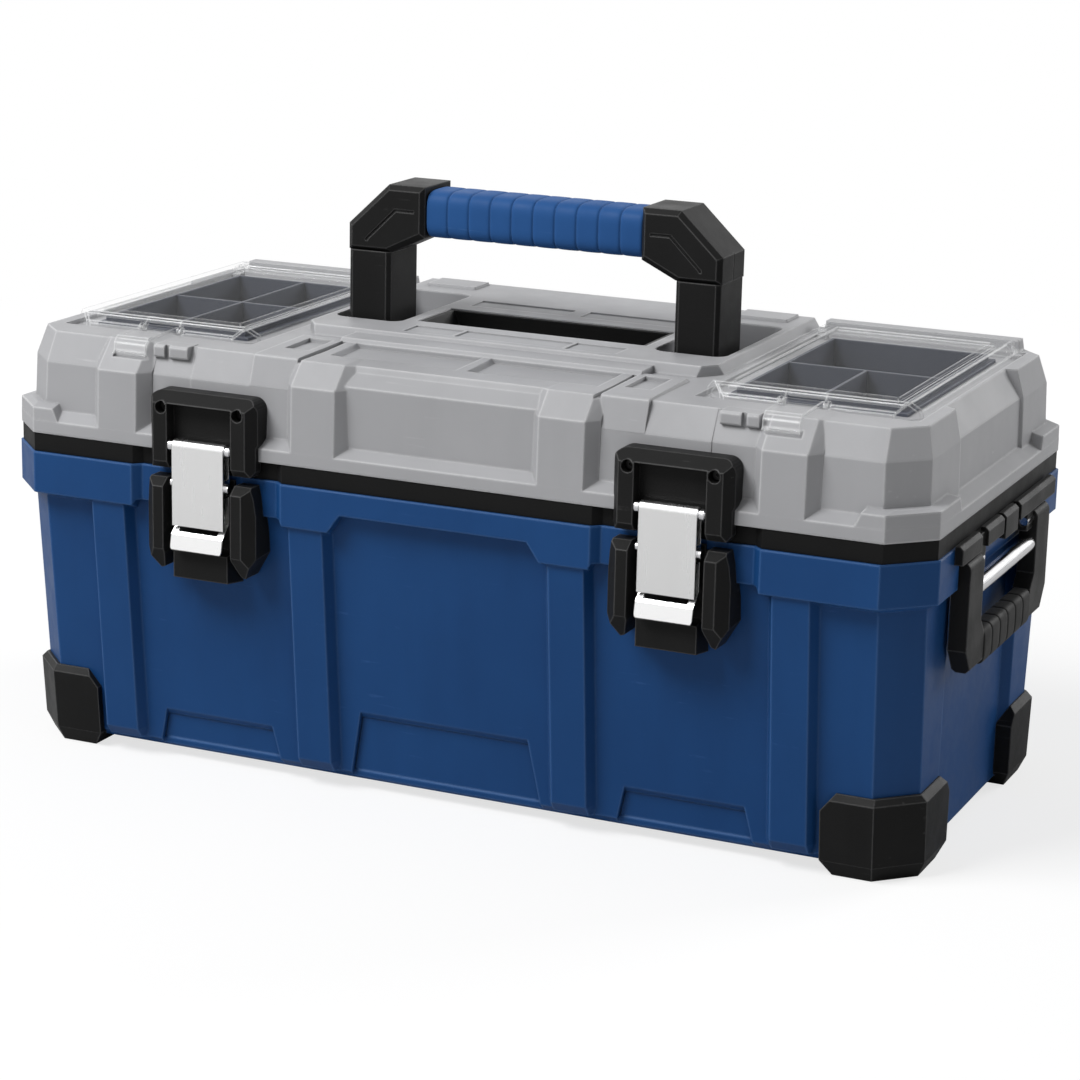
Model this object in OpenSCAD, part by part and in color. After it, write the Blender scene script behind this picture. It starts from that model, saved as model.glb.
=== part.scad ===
// Hard tool case with a hinged lid, two draw latches, a folding carry handle,
// two side handles and two small-parts organisers under clear lids.
// +X runs along the case, -Y is the front, +Z is up.
// The origin is on the floor, under the middle of the case. Sizes are in mm.

/* [Case] */
// Length of the case over the lid flange
case_l = 560; // [470:1:680]
// Depth of the case over the lid flange, front to back
case_d = 277; // [230:1:335]
// Height of the top of the body rim above the floor
rim_z = 181; // [150:1:220]
// Height of the underside of the body above the floor
base_z = 6; // [4:0.5:10]
// Wall thickness of the body
body_wall = 3.2; // [2.4:0.1:4.2]
// Inward draft of the front and rear walls, mm per mm of height
wall_draft = 0.09; // [0:0.01:0.12]
// Flat across each bevelled corner of the lid flange, measured along one wall
corner_cut = 22.8; // [16:0.1:30]

/* [Rim and seal] */
// Height of the collar round the top of the body
collar_h = 24; // [16:1:32]
// Height of the seal frame between body and lid
seal_h = 11; // [6:0.5:16]
// Depth of the step in rim and seal behind each latch
latch_step = 4.5; // [2:0.5:6]

/* [Lid] */
// Height of the lid from the seal to the deck
lid_h = 57; // [48:1:70]
// Wall thickness of the lid
lid_wall = 3.2; // [2.4:0.1:4]
// Height of the flange round the foot of the lid
flange_h = 7.5; // [5:0.5:12]
// Height of the flange at its raised corner shoes
shoe_h = 16.5; // [12:0.5:20]
// Half length of the raised middle of the deck
plateau_hx = 127; // [110:1:140]
// Height of the raised middle above the deck
plateau_h = 6; // [3:0.5:9]

/* [Latches] */
// Distance of each latch from the middle of the case
latch_x = 142; // [125:1:165]
// Width of the steel latch lever
lever_w = 33; // [24:1:38]
// Thickness of the latch sheet steel
lever_t = 1.4; // [1:0.1:2]
// Radius of the latch pin
latch_pin_r = 3; // [2:0.25:3.5]
// Width of the latch housing on the lid
housing_w = 67; // [60:1:74]

/* [Carry handle] */
// Height of the top of the carry handle above the floor
handle_top = 333; // [320:1:350]
// Distance of each handle leg from the middle of the case
leg_x = 103; // [96:1:108]
// Width of a handle leg along the case
leg_w = 27; // [20:1:30]
// Depth of a handle leg, front to back
leg_d = 38; // [30:1:42]
// Length of the blue grip
grip_l = 136; // [110:1:140]
// Depth of the grip, front to back
grip_d = 33; // [26:1:36]
// Height of the grip
grip_h = 28; // [22:1:32]
// Number of rings round the grip
grip_rings = 10; // [4:1:12]
// Radius of the handle pivot pins
handle_pin_r = 4; // [3:0.5:5]

/* [Organisers] */
// Depth of the small-parts bins
bin_depth = 44; // [30:1:46]
// Wall thickness of the bins
bin_wall = 1.6; // [1.2:0.1:2.4]
// Width of each clear lid clip
clip_w = 21; // [16:1:26]
// Thickness of the clear lids
clear_t = 2; // [1.6:0.1:2.6]

/* [Side handles] */
// Width of each side handle over its arms
bail_w = 156; // [140:1:160]
// Drop of each side handle below its pivots
bail_drop = 59; // [50:1:70]
// Radius of the steel tube between the arms of a side handle
tube_r = 4.8; // [3.5:0.1:5.5]

/* [Hinges] */
// Distance of each rear hinge from the middle of the case
hinge_x = 150; // [120:1:180]
// Radius of the hinge knuckles
knuckle_r = 5.5; // [5:0.1:6]
// Radius of the hinge pins
hinge_pin_r = 2.5; // [2:0.1:3]

/* [Feet] */
// Height of the corner guards
guard_h = 48; // [36:1:60]
// Thickness of the corner guards outside the walls
guard_t = 4.5; // [3:0.5:6]

/* [Hidden] */
$fn = 48;

// colours
blue = "#26477a";
grip_blue = "#2c4f8f";
grey = "#9b9b9e";
bin_grey = "#6e737d";
black = "#1d1d1f";
steel = "#c9ccd0";
clear = [0.85, 0.9, 0.95, 0.45];

eps = 0.01;
far = 500;
// clearance between a pin and the bore that it turns in
fit = 0.05;
// side gap between two parts that pass each other
gap = 0.5;

// ---- main levels and outlines ----
hl = case_l / 2;
hd = case_d / 2;
seal_z = rim_z;
lid_z = rim_z + seal_h;
deck_z = lid_z + lid_h;
plateau_z = deck_z + plateau_h;

// outer faces of the body walls at the foot of the collar
body_hx = hl - 6;
body_hy = hd - 7.4;
body_cut = 20.2;
side_draft = 0.008;
base_bevel = 5;
collar_z = rim_z - collar_h;
collar_out = 1;
collar_cut = 24.8;
collar_slope = 3.5;

// ---- small helpers ----
function reversed(a) = [for (i = [len(a) - 1:-1:0]) a[i]];
function mirrored_outline(a) = concat(a, reversed([for (p = a) [-p[0], p[1]]]));

// places a drawing of (depth, height) so that it runs along X
module along_x(l) {
  rotate([90, 0, 90])
    linear_extrude(height = l, center = true) children();
}

// places a drawing of (length, height) so that it runs along Y
module along_y(l) {
  rotate([90, 0, 0])
    linear_extrude(height = l, center = true) children();
}

// a round bar along X, centred at (y, z)
module bar_x(r, l, y, z) {
  translate([0, y, z])
    rotate([0, 90, 0]) cylinder(r = r, h = l, center = true);
}

// Eight-sided case form. Each level is [z, half length, half depth, sum at the
// corner], and the form is the crossing of the front, side and corner profiles.
module form(levels) {
  intersection() {
    along_x(2 * far) polygon(mirrored_outline([for (v = levels) [v[2], v[0]]]));
    along_y(2 * far) polygon(mirrored_outline([for (v = levels) [v[1], v[0]]]));
    corner_profile(levels, 45);
    corner_profile(levels, -45);
  }
}
// the creases of the corners lie a hair above those of the walls
crease = 0.05;
module corner_profile(levels, turn) {
  last = len(levels) - 1;
  shifted = [
    for (i = [0:last])
      levels[i] + [i == 0 ? -1 : i == last ? 1 : crease, 0, 0, 0]
  ];
  rotate([0, 0, turn])
    along_x(2 * far)
      polygon(mirrored_outline([for (v = shifted) [v[3] / sqrt(2), v[0]]]));
}

// the levels of a form drawn in by t on every wall
function inset(levels, t) =
  [for (v = levels) [v[0], v[1] - t, v[2] - t, v[3] - t * sqrt(2)]];

// a solid through rings of points that all lie in planes across X
module skin(rings) {
  n = len(rings[0]);
  m = len(rings);
  sides = [
    for (j = [0:m - 2], i = [0:n - 1], half = [0, 1])
      half == 0
        ? [j * n + i, j * n + (i + 1) % n, (j + 1) * n + (i + 1) % n]
        : [j * n + i, (j + 1) * n + (i + 1) % n, (j + 1) * n + i]
  ];
  polyhedron(
    points = [for (r = rings, p = r) p],
    faces = concat([[for (i = [n - 1:-1:0]) i]], sides, [[for (i = [0:n - 1]) (m - 1) * n + i]])
  );
}

// A raised rib between x0 and x1: the face profile over its width, falling to the
// root profile over the flare on each side. Profiles are lists of (y, z).
module rib(face, root, x0, x1, flare) {
  ring = function (x, prof) [for (p = prof) [x, p[0], p[1]]];
  skin([ring(x0 - flare, root), ring(x0, face), ring(x1, face), ring(x1 + flare, root)]);
}

// a strip of constant thickness along a line of points, mitred at its corners
function unit(v) = v / norm(v);
function side_of(a, b) = let (d = unit(b - a)) [-d[1], d[0]];
function mitre(p, i) =
  let (last = len(p) - 1)
  i == 0 ? side_of(p[0], p[1])
  : i == last ? side_of(p[last - 1], p[last])
  : let (a = side_of(p[i - 1], p[i]), b = side_of(p[i], p[i + 1]), s = a + b)
    s * 2 / (s * s);
function strip(p, t) = concat(
  [for (i = [0:len(p) - 1]) p[i] + mitre(p, i) * t / 2],
  [for (i = [len(p) - 1:-1:0]) p[i] - mitre(p, i) * t / 2]
);

// both sides of the case
module both_x() {
  children();
  mirror([1, 0, 0]) children();
}

module both_y() {
  children();
  mirror([0, 1, 0]) children();
}

// ---- body ----
function wall_y(z) = body_hy - wall_draft * (collar_z - z);
function wall_x(z) = body_hx - side_draft * (collar_z - z);
function wall_level(z, t = 0) =
  [z, wall_x(z) - t, wall_y(z) - t, wall_x(z) + wall_y(z) - body_cut - t * 1.5];

bevel_z = base_z + base_bevel;
body_levels = [
  wall_level(base_z, base_bevel), wall_level(bevel_z), wall_level(rim_z)
];
collar_levels = [
  wall_level(collar_z - collar_slope),
  [collar_z, hl + collar_out, hd + 1.5, hl + hd + 2.5 - collar_cut],
  [rim_z, hl + collar_out, hd + 1.5, hl + hd + 2.5 - collar_cut]
];
collar_y = hd + 1.5;
collar_x = hl + collar_out;

// ribs of the front and rear walls
rib_proud = 7;
rib_w = 21;
rib_in_x = 79.5;
rib_out_x = latch_x + 66;
rib_flare = 4;
rib_z0 = base_z + 4.5;
function body_rib_face(t) = [
  [-60, rib_z0 + t], [-wall_y(rib_z0) - rib_proud + 4 + t, rib_z0 + t],
  [-wall_y(rib_z0 + 6) - rib_proud + t, rib_z0 + 6 + t],
  [-wall_y(collar_z) - rib_proud + t, collar_z + eps], [-60, collar_z + eps]
];
function body_rib_root(t) = [
  [-60, rib_z0 + t], [-wall_y(rib_z0) + 3 + t, rib_z0 + t],
  [-wall_y(rib_z0 + 6) + 1 + t, rib_z0 + 6 + t],
  [-wall_y(collar_z) + 1 + t, collar_z + eps], [-60, collar_z + eps]
];

module body_ribs(t) {
  for (x = [-rib_out_x, -rib_in_x, rib_in_x, rib_out_x])
    both_y()
      rib(body_rib_face(t), body_rib_root(t),
          x - rib_w / 2 + t, x + rib_w / 2 - t, rib_flare);
}

// recess of the end walls between the corner posts, where the side handle hangs
side_recess_y = 62;
side_recess_deep = 6;
// the flank of the recess runs on at its slope, past the face of the wall
side_flank_out = side_recess_deep + 1;
side_flank_y = side_recess_y + side_flank_out * 4 / 3;
module side_recess(t) {
  x0 = body_hx - side_recess_deep - t;
  x1 = x0 + side_flank_out + t;
  both_x()
    translate([0, 0, -far])
      linear_extrude(height = far + collar_z - collar_slope)
        polygon([
          [x0, -side_recess_y - t / 2], [x1, -side_flank_y - t / 2], [far, -side_flank_y - t / 2],
          [far, side_flank_y + t / 2], [x1, side_flank_y + t / 2], [x0, side_recess_y + t / 2]
        ]);
}

// shallow panels low on the front and rear walls: [centre x, half width at the
// top, half width at the bottom, height of the top edge]
low_panel_deep = 3;
low_panels = [[0, 52, 60, 49], [rib_in_x + 66, 35, 41, 31], [-rib_in_x - 66, 35, 41, 31]];
module low_panel_cut(p) {
  top = base_z - 6 + p[3];
  intersection() {
    translate([p[0], 0, 0])
      along_y(2 * far)
        polygon([[-p[2] - 1, base_z - 5], [p[2] + 1, base_z - 5], [p[1], top], [-p[1], top]]);
    along_x(2 * far)
      polygon([
        [-far, top], [-wall_y(top) - eps, top], [-wall_y(top - 4) + low_panel_deep, top - 4],
        [-wall_y(base_z - 6) + low_panel_deep, base_z - 6], [-far, base_z - 6]
      ]);
  }
}

// half width of the short middle part of the collar, and its underside
collar_mid_x = 57;
collar_mid_rise = 10.5;
latch_rise = 3;
// the step behind each latch runs from one body or lid rib to the next
latch_step_x0 = latch_x - 46;
latch_step_x1 = latch_x + 47;
side_cut_y = 81;

module latch_step_cut(z0, z1, y, t) {
  x0 = latch_step_x0 - t / 2;
  x1 = latch_step_x1 + t / 2;
  both_x()
    translate([0, 0, z0])
      linear_extrude(height = z1 - z0)
        polygon([
          [x0 - 3, -y - 20], [x0 - 3, -y - 1 + t], [x0 + 3, -y + latch_step + t],
          [x1 - 3, -y + latch_step + t], [x1 + 3, -y - 1 + t], [x1 + 3, -y - 20]
        ]);
}

module collar() {
  difference() {
    form(collar_levels);
    latch_step_cut(collar_z - 10, rim_z + 1, collar_y, 0);
    collar_low_cuts(0);
    side_stop(0);
  }
}

// Outside the walls, the underside of the collar is higher between the middle
// ribs and, at the front, behind the latches. Drawn larger by t for the inside.
module collar_low_cuts(t) {
  both_y()
    low_cut(0, collar_mid_x + t, collar_mid_rise + t);
  both_x()
    low_cut(latch_x, latch_step_x1 - latch_x + t, latch_rise + t);
}
module low_cut(x, hw, rise) {
  low = collar_z - 10;
  top = collar_z + rise;
  slant = rise + 4;
  translate([x, -far / 2 - wall_y(low) + body_wall + 4, 0])
    along_y(far)
      polygon([[-hw - slant, low], [hw + slant, low], [hw, top], [-hw, top]]);
}

// the collar stops at the side handles
module side_stop(t) {
  both_x()
    translate([body_hx - t, -side_cut_y - t, collar_z - 10])
      cube([far, 2 * (side_cut_y + t), collar_h + 20]);
}

cavity_z = base_z + body_wall;
rim_inside_z = collar_z + body_wall;
module body_cavity() {
  levels = inset([
    wall_level(cavity_z, base_bevel - 2), wall_level(bevel_z + 1), wall_level(rim_z + 1)
  ], body_wall);
  collar_top = collar_levels[2];
  rim = inset([collar_top + [rim_inside_z - rim_z, 0, 0, 0], collar_top + [1, 0, 0, 0]],
              body_wall);
  difference() {
    union() {
      form(levels);
      body_ribs(body_wall);
    }
    side_recess(body_wall);
  }
  // the wall stands further out inside the collar
  difference() {
    form(rim);
    latch_step_cut(collar_z, rim_z + 2, collar_y, body_wall);
    collar_low_cuts(body_wall);
    side_stop(body_wall);
  }
}

module body_outer() {
  difference() {
    union() {
      form(body_levels);
      body_ribs(0);
    }
    side_recess(0);
    both_y()
      for (p = low_panels) low_panel_cut(p);
  }
}

module body_shell() {
  color(blue)
    difference() {
      union() {
        body_outer();
        collar();
      }
      body_cavity();
      hinge_screw_set(hinge_screw_r, 0);
    }
}

// ---- corner guards ----
guard_x0 = body_hx - 49;
guard_y0 = 61;
guard_bevel = 3.5;
guard_levels = [
  wall_level(0, 4 - guard_t), wall_level(9, -guard_t),
  wall_level(guard_h - guard_bevel, -guard_t), wall_level(guard_h, -1)
];

// outline of one guard seen from the front or the side: its top outer corner and
// its low outer corner are cut off
module guard_window(start, reach) {
  polygon([
    [start + 7, -1], [start, 9], [start, guard_h - 10], [start + 8, guard_h + eps],
    [reach, guard_h + eps], [reach, -1]
  ]);
}

module corner_guard(side, rear) {
  color(black)
    mirror([side < 0 ? 1 : 0, 0, 0])
      mirror([0, rear ? 1 : 0, 0])
        difference() {
          intersection() {
            form(guard_levels);
            translate([0, -far / 2, 0]) along_y(far) guard_window(guard_x0, far);
            rotate([0, 0, -90])
              translate([0, far / 2, 0]) along_y(far) guard_window(guard_y0, far);
          }
          body_outer();
        }
}

// ---- seal frame ----
seal_levels = [
  [seal_z, hl - 0.5, hd - 0.5, hl + hd - 1 - corner_cut],
  [lid_z, hl - 0.5, hd - 0.5, hl + hd - 1 - corner_cut]
];
seal_lip = 8;
module seal_frame() {
  color(black)
    difference() {
      union() {
        form(seal_levels);
        form(inset([wall_level(seal_z - seal_lip), wall_level(seal_z + 1)], body_wall + 0.3));
      }
      form(inset([wall_level(seal_z - seal_lip - 1), wall_level(lid_z + 1)], body_wall + 2.8));
      latch_step_cut(seal_z - 1, lid_z + 1, hd - 0.5, 0);
    }
}

// ---- lid ----
flange_z = lid_z + flange_h;
shoe_z = lid_z + shoe_h;
ledge_z = flange_z + 5;
knee_z = lid_z + 40.5;
lid_levels = [
  [lid_z, hl, hd, hl + hd - corner_cut],
  [flange_z, hl, hd, hl + hd - corner_cut],
  [ledge_z, hl - 9, hd - 8, hl + hd - 34.5],
  [knee_z, hl - 9.5, hd - 9.3, hl + hd - 36.5],
  [deck_z, hl - 18, hd - 18, hl + hd - 46.5]
];
shoe_levels = [
  [lid_z, hl, hd, hl + hd - corner_cut],
  [shoe_z - 1.5, hl - 0.2, hd - 0.2, hl + hd - corner_cut - 0.3],
  [shoe_z, hl - 7, hd - 8, hl + hd - 33]
];
post_levels = [
  [lid_z, hl, hd, hl + hd - corner_cut],
  [flange_z, hl - 7, hd - 8, hl + hd - 34],
  [knee_z, hl - 7.8, hd - 9.3, hl + hd - 36.5],
  [deck_z + eps, hl - 12, hd - 18, hl + hd - 46.5]
];

// profiles of the front ribs and of the middle panel, seen from the side
function lid_rib_face(knee, top_y, t) = [
  [-60, flange_z - 1], [-hd + t, flange_z - 1], [-hd + 1 + t, knee - t / 2],
  [-top_y + t, deck_z + 0.6 - t], [-60, deck_z + 0.6 - t]
];
function lid_rib_root(knee, top_y, t) = [
  [-60, flange_z - 1], [-hd + 7.6 + t, flange_z - 1], [-hd + 9 + t, knee - t / 2],
  [-top_y + 6 + t, deck_z - 0.4 - t], [-60, deck_z - 0.4 - t]
];
lid_rib_in_x = 75;
lid_rib_in_w = 27;
lid_rib_out_x = latch_x + 59;
lid_rib_out_w = 25;
lid_rib_flare = 6;
in_knee = lid_z + 45;
out_knee = lid_z + 41.5;
in_top_y = hd - 13;
out_top_y = hd - 16;

module lid_ribs(t) {
  both_x()
    both_y() {
      rib(lid_rib_face(in_knee, in_top_y, t), lid_rib_root(in_knee, in_top_y, t),
          lid_rib_in_x - lid_rib_in_w / 2 + t, lid_rib_in_x + lid_rib_in_w / 2 - t,
          lid_rib_flare);
      rib(lid_rib_face(out_knee, out_top_y, t), lid_rib_root(out_knee, out_top_y, t),
          lid_rib_out_x - lid_rib_out_w / 2 + t, lid_rib_out_x + lid_rib_out_w / 2 - t,
          lid_rib_flare);
    }
}

// the broad panel between the middle ribs, with a higher knee
module mid_panel(t) {
  both_y()
    along_x(2 * (lid_rib_in_x - t))
      polygon([
        [-60, ledge_z - 2], [-hd + 7.6 + t, ledge_z - 2], [-hd + 7.2 + t, in_knee + 2 - t / 2],
        [-hd + 21 + t, deck_z + eps - t], [-60, deck_z + eps - t]
      ]);
}

// posts at the ends of the lid's side walls, between the corner and |y| = post_y
post_y = 56;
post_slope = 5;
module side_posts(t) {
  intersection() {
    form(inset(post_levels, t));
    both_x()
      both_y()
        translate([0, 0, lid_z - 1])
          linear_extrude(height = lid_h + 1 - t)
            polygon([
              [hl - 60, -hd], [hl - 60, -post_y - t], [hl - 18, -post_y - t],
              [hl - 7, -post_y - post_slope - t], [hl + 5, -post_y - post_slope - t], [hl + 5, -hd]
            ]);
  }
}

// taller shoes of the flange at the four corners
shoe_x = hl - 39;
shoe_y = 78;
module shoe_window(start) {
  for (turn = [0, 1])
    mirror([turn, 0])
      polygon([
        [start - 1, flange_z - 1], [start + 4, shoe_z + 1], [far, shoe_z + 1], [far, flange_z - 1]
      ]);
}
module shoes() {
  intersection() {
    form(shoe_levels);
    along_y(2 * far) shoe_window(shoe_x);
    along_x(2 * far) shoe_window(shoe_y);
  }
}

module lid_form(t) {
  last = len(lid_levels) - 1;
  levels = [for (i = [0:last]) i < last ? lid_levels[i] : lid_levels[i] - [t, 0, 0, 0]];
  form(inset(levels, t));
  lid_ribs(t);
  mid_panel(t);
  side_posts(t);
}

// ---- deck of the lid ----
plateau_y1 = hd - 22;
// foot of the plateau at the front, and the step below it
plateau_foot_y = -hd + 84.7;
terrace_y = -hd + 67;
terrace_hx = 93;
terrace_z = deck_z + plateau_h * 0.62;
step_run = 2.2;
// the front of the deck rises a little from its edge to the step
deck_edge_y = -hd + 21;
front_rise = 1.5;
front_slope = front_rise / (terrace_y - deck_edge_y);

// a flat-topped block on the deck with one slope all round
module deck_block(x0, y0, x1, y1, z, slope) {
  intersection() {
    along_y(2 * far)
      polygon([[x0 - slope, deck_z - 1], [x1 + slope, deck_z - 1], [x1, z], [x0, z]]);
    along_x(2 * far)
      polygon([[y0 - slope, deck_z - 1], [y1 + slope, deck_z - 1], [y1, z], [y0, z]]);
  }
}

pad_rise = 1.8;
plateau_cut = 8;
module deck_blocks() {
  // rising front part and the step behind it
  along_x(2 * pad_x0)
    polygon([
      [deck_edge_y, deck_z - 1], [deck_edge_y, deck_z], [terrace_y, deck_z + front_rise],
      [0, deck_z + front_rise], [0, deck_z - 1]
    ]);
  both_x()
    front_pad();
  along_x(2 * terrace_hx)
    polygon([
      [terrace_y, deck_z - 1], [terrace_y, deck_z + front_rise],
      [terrace_y + step_run, terrace_z], [0, terrace_z], [0, deck_z - 1]
    ]);
  // plateau, with its two front corners cut
  intersection() {
    deck_block(-plateau_hx, plateau_foot_y + step_run, plateau_hx, plateau_y1, plateau_z, 3);
    translate([0, 0, deck_z - 2])
      linear_extrude(height = 20)
        polygon([
          [-plateau_hx + plateau_cut, -hd], [-plateau_hx + plateau_cut, plateau_foot_y],
          [-plateau_hx - 4, plateau_foot_y + plateau_cut + 8], [-plateau_hx - 4, hd],
          [plateau_hx + 4, hd], [plateau_hx + 4, plateau_foot_y + plateau_cut + 8],
          [plateau_hx - plateau_cut, plateau_foot_y], [plateau_hx - plateau_cut, -hd]
        ]);
  }
  // raised pads behind each handle pocket and beside each organiser hinge
  both_x() {
    deck_block(leg_x - 17, plateau_y1 - 24, leg_x + 15, plateau_y1 - 4,
               plateau_z + pad_rise, 1.5);
    deck_block(org_x0, org_y1 + 6, org_x1 - 4, hd - 21.5, plateau_z + 0.5, 1);
  }
}

// pad with a square pocket beside the rising front, its bevel a little proud
pad_x0 = lid_rib_in_x + lid_rib_in_w / 2 + 3.1;
pad_x1 = pad_x0 + 26.5;
pad_up = 1;
module front_pad() {
  intersection() {
    along_x(2 * far)
      polygon([
        [-hd + 40, knee_z], [-hd + 9.2, knee_z], [-hd + 14.8, deck_z + pad_up - 0.6],
        [-hd + 16, deck_z + pad_up], [terrace_y + 4, deck_z + front_rise + pad_up / 2],
        [terrace_y + 6, deck_z - 1], [-hd + 40, deck_z - 1]
      ]);
    along_y(2 * far)
      polygon([
        [pad_x0, knee_z - 1], [pad_x1 + 1.5, knee_z - 1], [pad_x1 + 1.5, deck_z],
        [pad_x1, deck_z + 4], [pad_x0, deck_z + 4]
      ]);
  }
}

// bars between the sunk panels of the rising front, and the groove beside the
// outer bars
bar_w = 7.4;
bar_x = lid_rib_in_x + lid_rib_in_w / 2 - bar_w / 2;
panel_sunk = 2.8;
panel_edge = 12.5;
groove_x = pad_x0 - bar_x - bar_w / 2;
module front_cut(x0, x1, y0) {
  run = panel_sunk;
  intersection() {
    along_x(2 * far)
      polygon([
        [y0, deck_z + (y0 - deck_edge_y) * front_slope - panel_sunk],
        [terrace_y, deck_z + front_rise - panel_sunk], [terrace_y, deck_z + 10], [y0, deck_z + 10]
      ]);
    along_y(2 * far)
      polygon([
        [x0 + run, deck_z + front_rise - 2 * panel_sunk],
        [x1 - run, deck_z + front_rise - 2 * panel_sunk],
        [x1 + run * 0.6, deck_z + front_rise + run * 0.6 - panel_sunk + 2],
        [x0 - run * 0.6, deck_z + front_rise + run * 0.6 - panel_sunk + 2]
      ]);
  }
}

// a shallow pocket with upright walls, sunk from the height z
module sunk(x0, y0, x1, y1, z, deep) {
  translate([x0, y0, z - deep]) cube([x1 - x0, y1 - y0, deep + 20]);
}
square_x0 = 96.5;
square_w = 15;
square_y0 = terrace_y - 31;
module deck_pockets() {
  both_x() {
    front_cut(bar_w / 2, bar_x - bar_w / 2, deck_edge_y + panel_edge);
    // groove between the outer bar and the pad with the square pocket
    sunk(bar_x + bar_w / 2, -far, bar_x + bar_w / 2 + groove_x, terrace_y,
         deck_z + front_rise, panel_sunk);
    sunk(square_x0, square_y0, square_x0 + square_w, terrace_y - 2, deck_z + front_rise, 1.9);
    sunk(5, well_y1 + 14, 66, well_y1 + 32, plateau_z, 0.8);
    sunk(35.5, well_y0 - 31, 66, well_y0 - 13, plateau_z, 0.8);
  }
  sunk(-33.5, well_y0 - 31, 33.5, well_y0 - 13, plateau_z, 0.8);
}

// block with a slot that stands out of the front beside each organiser clip
block_w = 22;
block_front = hd - 11.5;
block_low = deck_z - 7;
slot_w = 3;
module clip_blocks() {
  x1 = clip_x - clip_w / 2 - 3;
  x0 = x1 - block_w;
  both_x()
    difference() {
      translate([(x0 + x1) / 2, 0, 0])
        along_x(block_w)
          polygon([
            [-deck_inner, block_low - 3], [-block_front + 1, block_low], [-block_front, block_low + 1],
            [-block_front, deck_z - 0.8], [-block_front + 1, deck_z + 0.3], [-deck_inner, deck_z + 0.3]
          ]);
      translate([(x0 + x1) / 2 + 1, -block_front - 1, block_low - 4])
        cube([slot_w, 3.5, 20]);
    }
}
deck_inner = hd - 24;

// shallow panel in the front between each clip block and the edge of the housing
shallow_x0 = latch_x + 15.5;
shallow_deep = 0.4;
module shallow_panels() {
  both_x()
    translate([(shallow_x0 + lid_rib_out_x - lid_rib_out_w / 2 - lid_rib_flare) / 2, 0, 0])
      along_x(lid_rib_out_x - lid_rib_out_w / 2 - lid_rib_flare - shallow_x0)
        polygon([
          [-far, ledge_z + 1], [-hd + 8 + shallow_deep, ledge_z + 1],
          [-hd + 9.3 + shallow_deep, knee_z], [-hd + 18, deck_z - shallow_deep],
          [-hd + 16, deck_z + 0.2], [-far, deck_z + 0.2]
        ]);
}

// ---- pockets of the carry handle ----
leg_y = 2;
pivot_z = plateau_z - 15;
pocket_in = 10;
pocket_out = 6.5;
pocket_x0 = leg_x - leg_w / 2 - pocket_in;
pocket_x1 = leg_x + leg_w / 2 + pocket_out;
pocket_y0 = leg_y - leg_d / 2 - 7;
pocket_y1 = pocket_y0 + 102;
pocket_z = pivot_z - leg_d / 2 - 2.5;
pocket_r = 8;
pocket_wall = 2.6;
boss_r = 9;

module pocket_shape(grow) {
  translate([pocket_x0 + pocket_r, pocket_y0 + pocket_r])
    offset(r = pocket_r + grow)
      square([pocket_x1 - pocket_x0 - 2 * pocket_r, pocket_y1 - pocket_y0 - 2 * pocket_r]);
}
module pocket_wall_solid() {
  translate([0, 0, pocket_z - pocket_wall])
    linear_extrude(height = deck_z - pocket_z + pocket_wall - 1) pocket_shape(pocket_wall);
}
module pocket_space() {
  translate([0, 0, pocket_z]) linear_extrude(height = 60) pocket_shape(0);
}
// bosses in the pocket that carry the handle pin on both sides of the leg
module pocket_bosses() {
  intersection() {
    translate([0, 0, pocket_z - 1]) linear_extrude(height = 60) pocket_shape(1);
    for (span = [[pocket_x0 - 1, leg_x - leg_w / 2 - gap], [leg_x + leg_w / 2 + gap, pocket_x1 + 1]])
      translate([(span[0] + span[1]) / 2, 0, 0]) {
        bar_x(boss_r, span[1] - span[0], leg_y, pivot_z);
        translate([0, leg_y, (pivot_z + pocket_z - 2) / 2])
          cube([span[1] - span[0], 2 * boss_r, pivot_z - pocket_z + 2], center = true);
      }
  }
}

// ---- black well tray between the pockets ----
well_hx = 72;
well_y0 = -14;
well_y1 = 31;
well_deep = 17;
tray_t = 2;
tray_play = 0.3;
module well_hole(grow, low) {
  translate([0, 0, low])
    linear_extrude(height = 60)
      square_between(-well_hx - grow, well_y0 - grow, well_hx + grow, well_y1 + grow);
}
module square_between(x0, y0, x1, y1) {
  translate([x0, y0]) square([x1 - x0, y1 - y0]);
}

module handle_well_tray() {
  top = plateau_z - 0.6;
  low = plateau_z - well_deep - tray_t;
  color(black)
    difference() {
      translate([0, 0, low])
        linear_extrude(height = top - low)
          square_between(-well_hx, well_y0, well_hx, well_y1);
      intersection() {
        // the ends of the tray slope
        along_y(2 * far)
          polygon([
            [-well_hx + 10, low + tray_t], [well_hx - 10, low + tray_t],
            [well_hx - tray_t, top + 1], [-well_hx + tray_t, top + 1]
          ]);
        translate([0, 0, low])
          linear_extrude(height = 60)
            square_between(-well_hx, well_y0 + tray_t, well_hx, well_y1 - tray_t);
      }
    }
}

// ---- organiser openings ----
org_x0 = plateau_hx + 10;
org_x1 = hl - 21.5;
org_y0 = -hd + 41.5;
org_y1 = hd - 35.5;
seat_z = deck_z - 2.5;
seat_gap = 1.5;
bin_x0 = org_x0 + 16;
bin_x1 = org_x1 - 15;
bin_y0 = org_y0 + 21;
bin_y1 = org_y1 - 25;
bin_top = deck_z + 2.5;
bin_flange = 5;
bin_play = 0.4;
clip_x = (org_x0 + org_x1) / 2 - 1.5;

org_axis_y = org_y1 - 3.6;
org_axis_z = seat_z + 4.3;
org_knuckle_r = 3.6;
org_pin_r = 1.9;
ear_w = 5;

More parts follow.
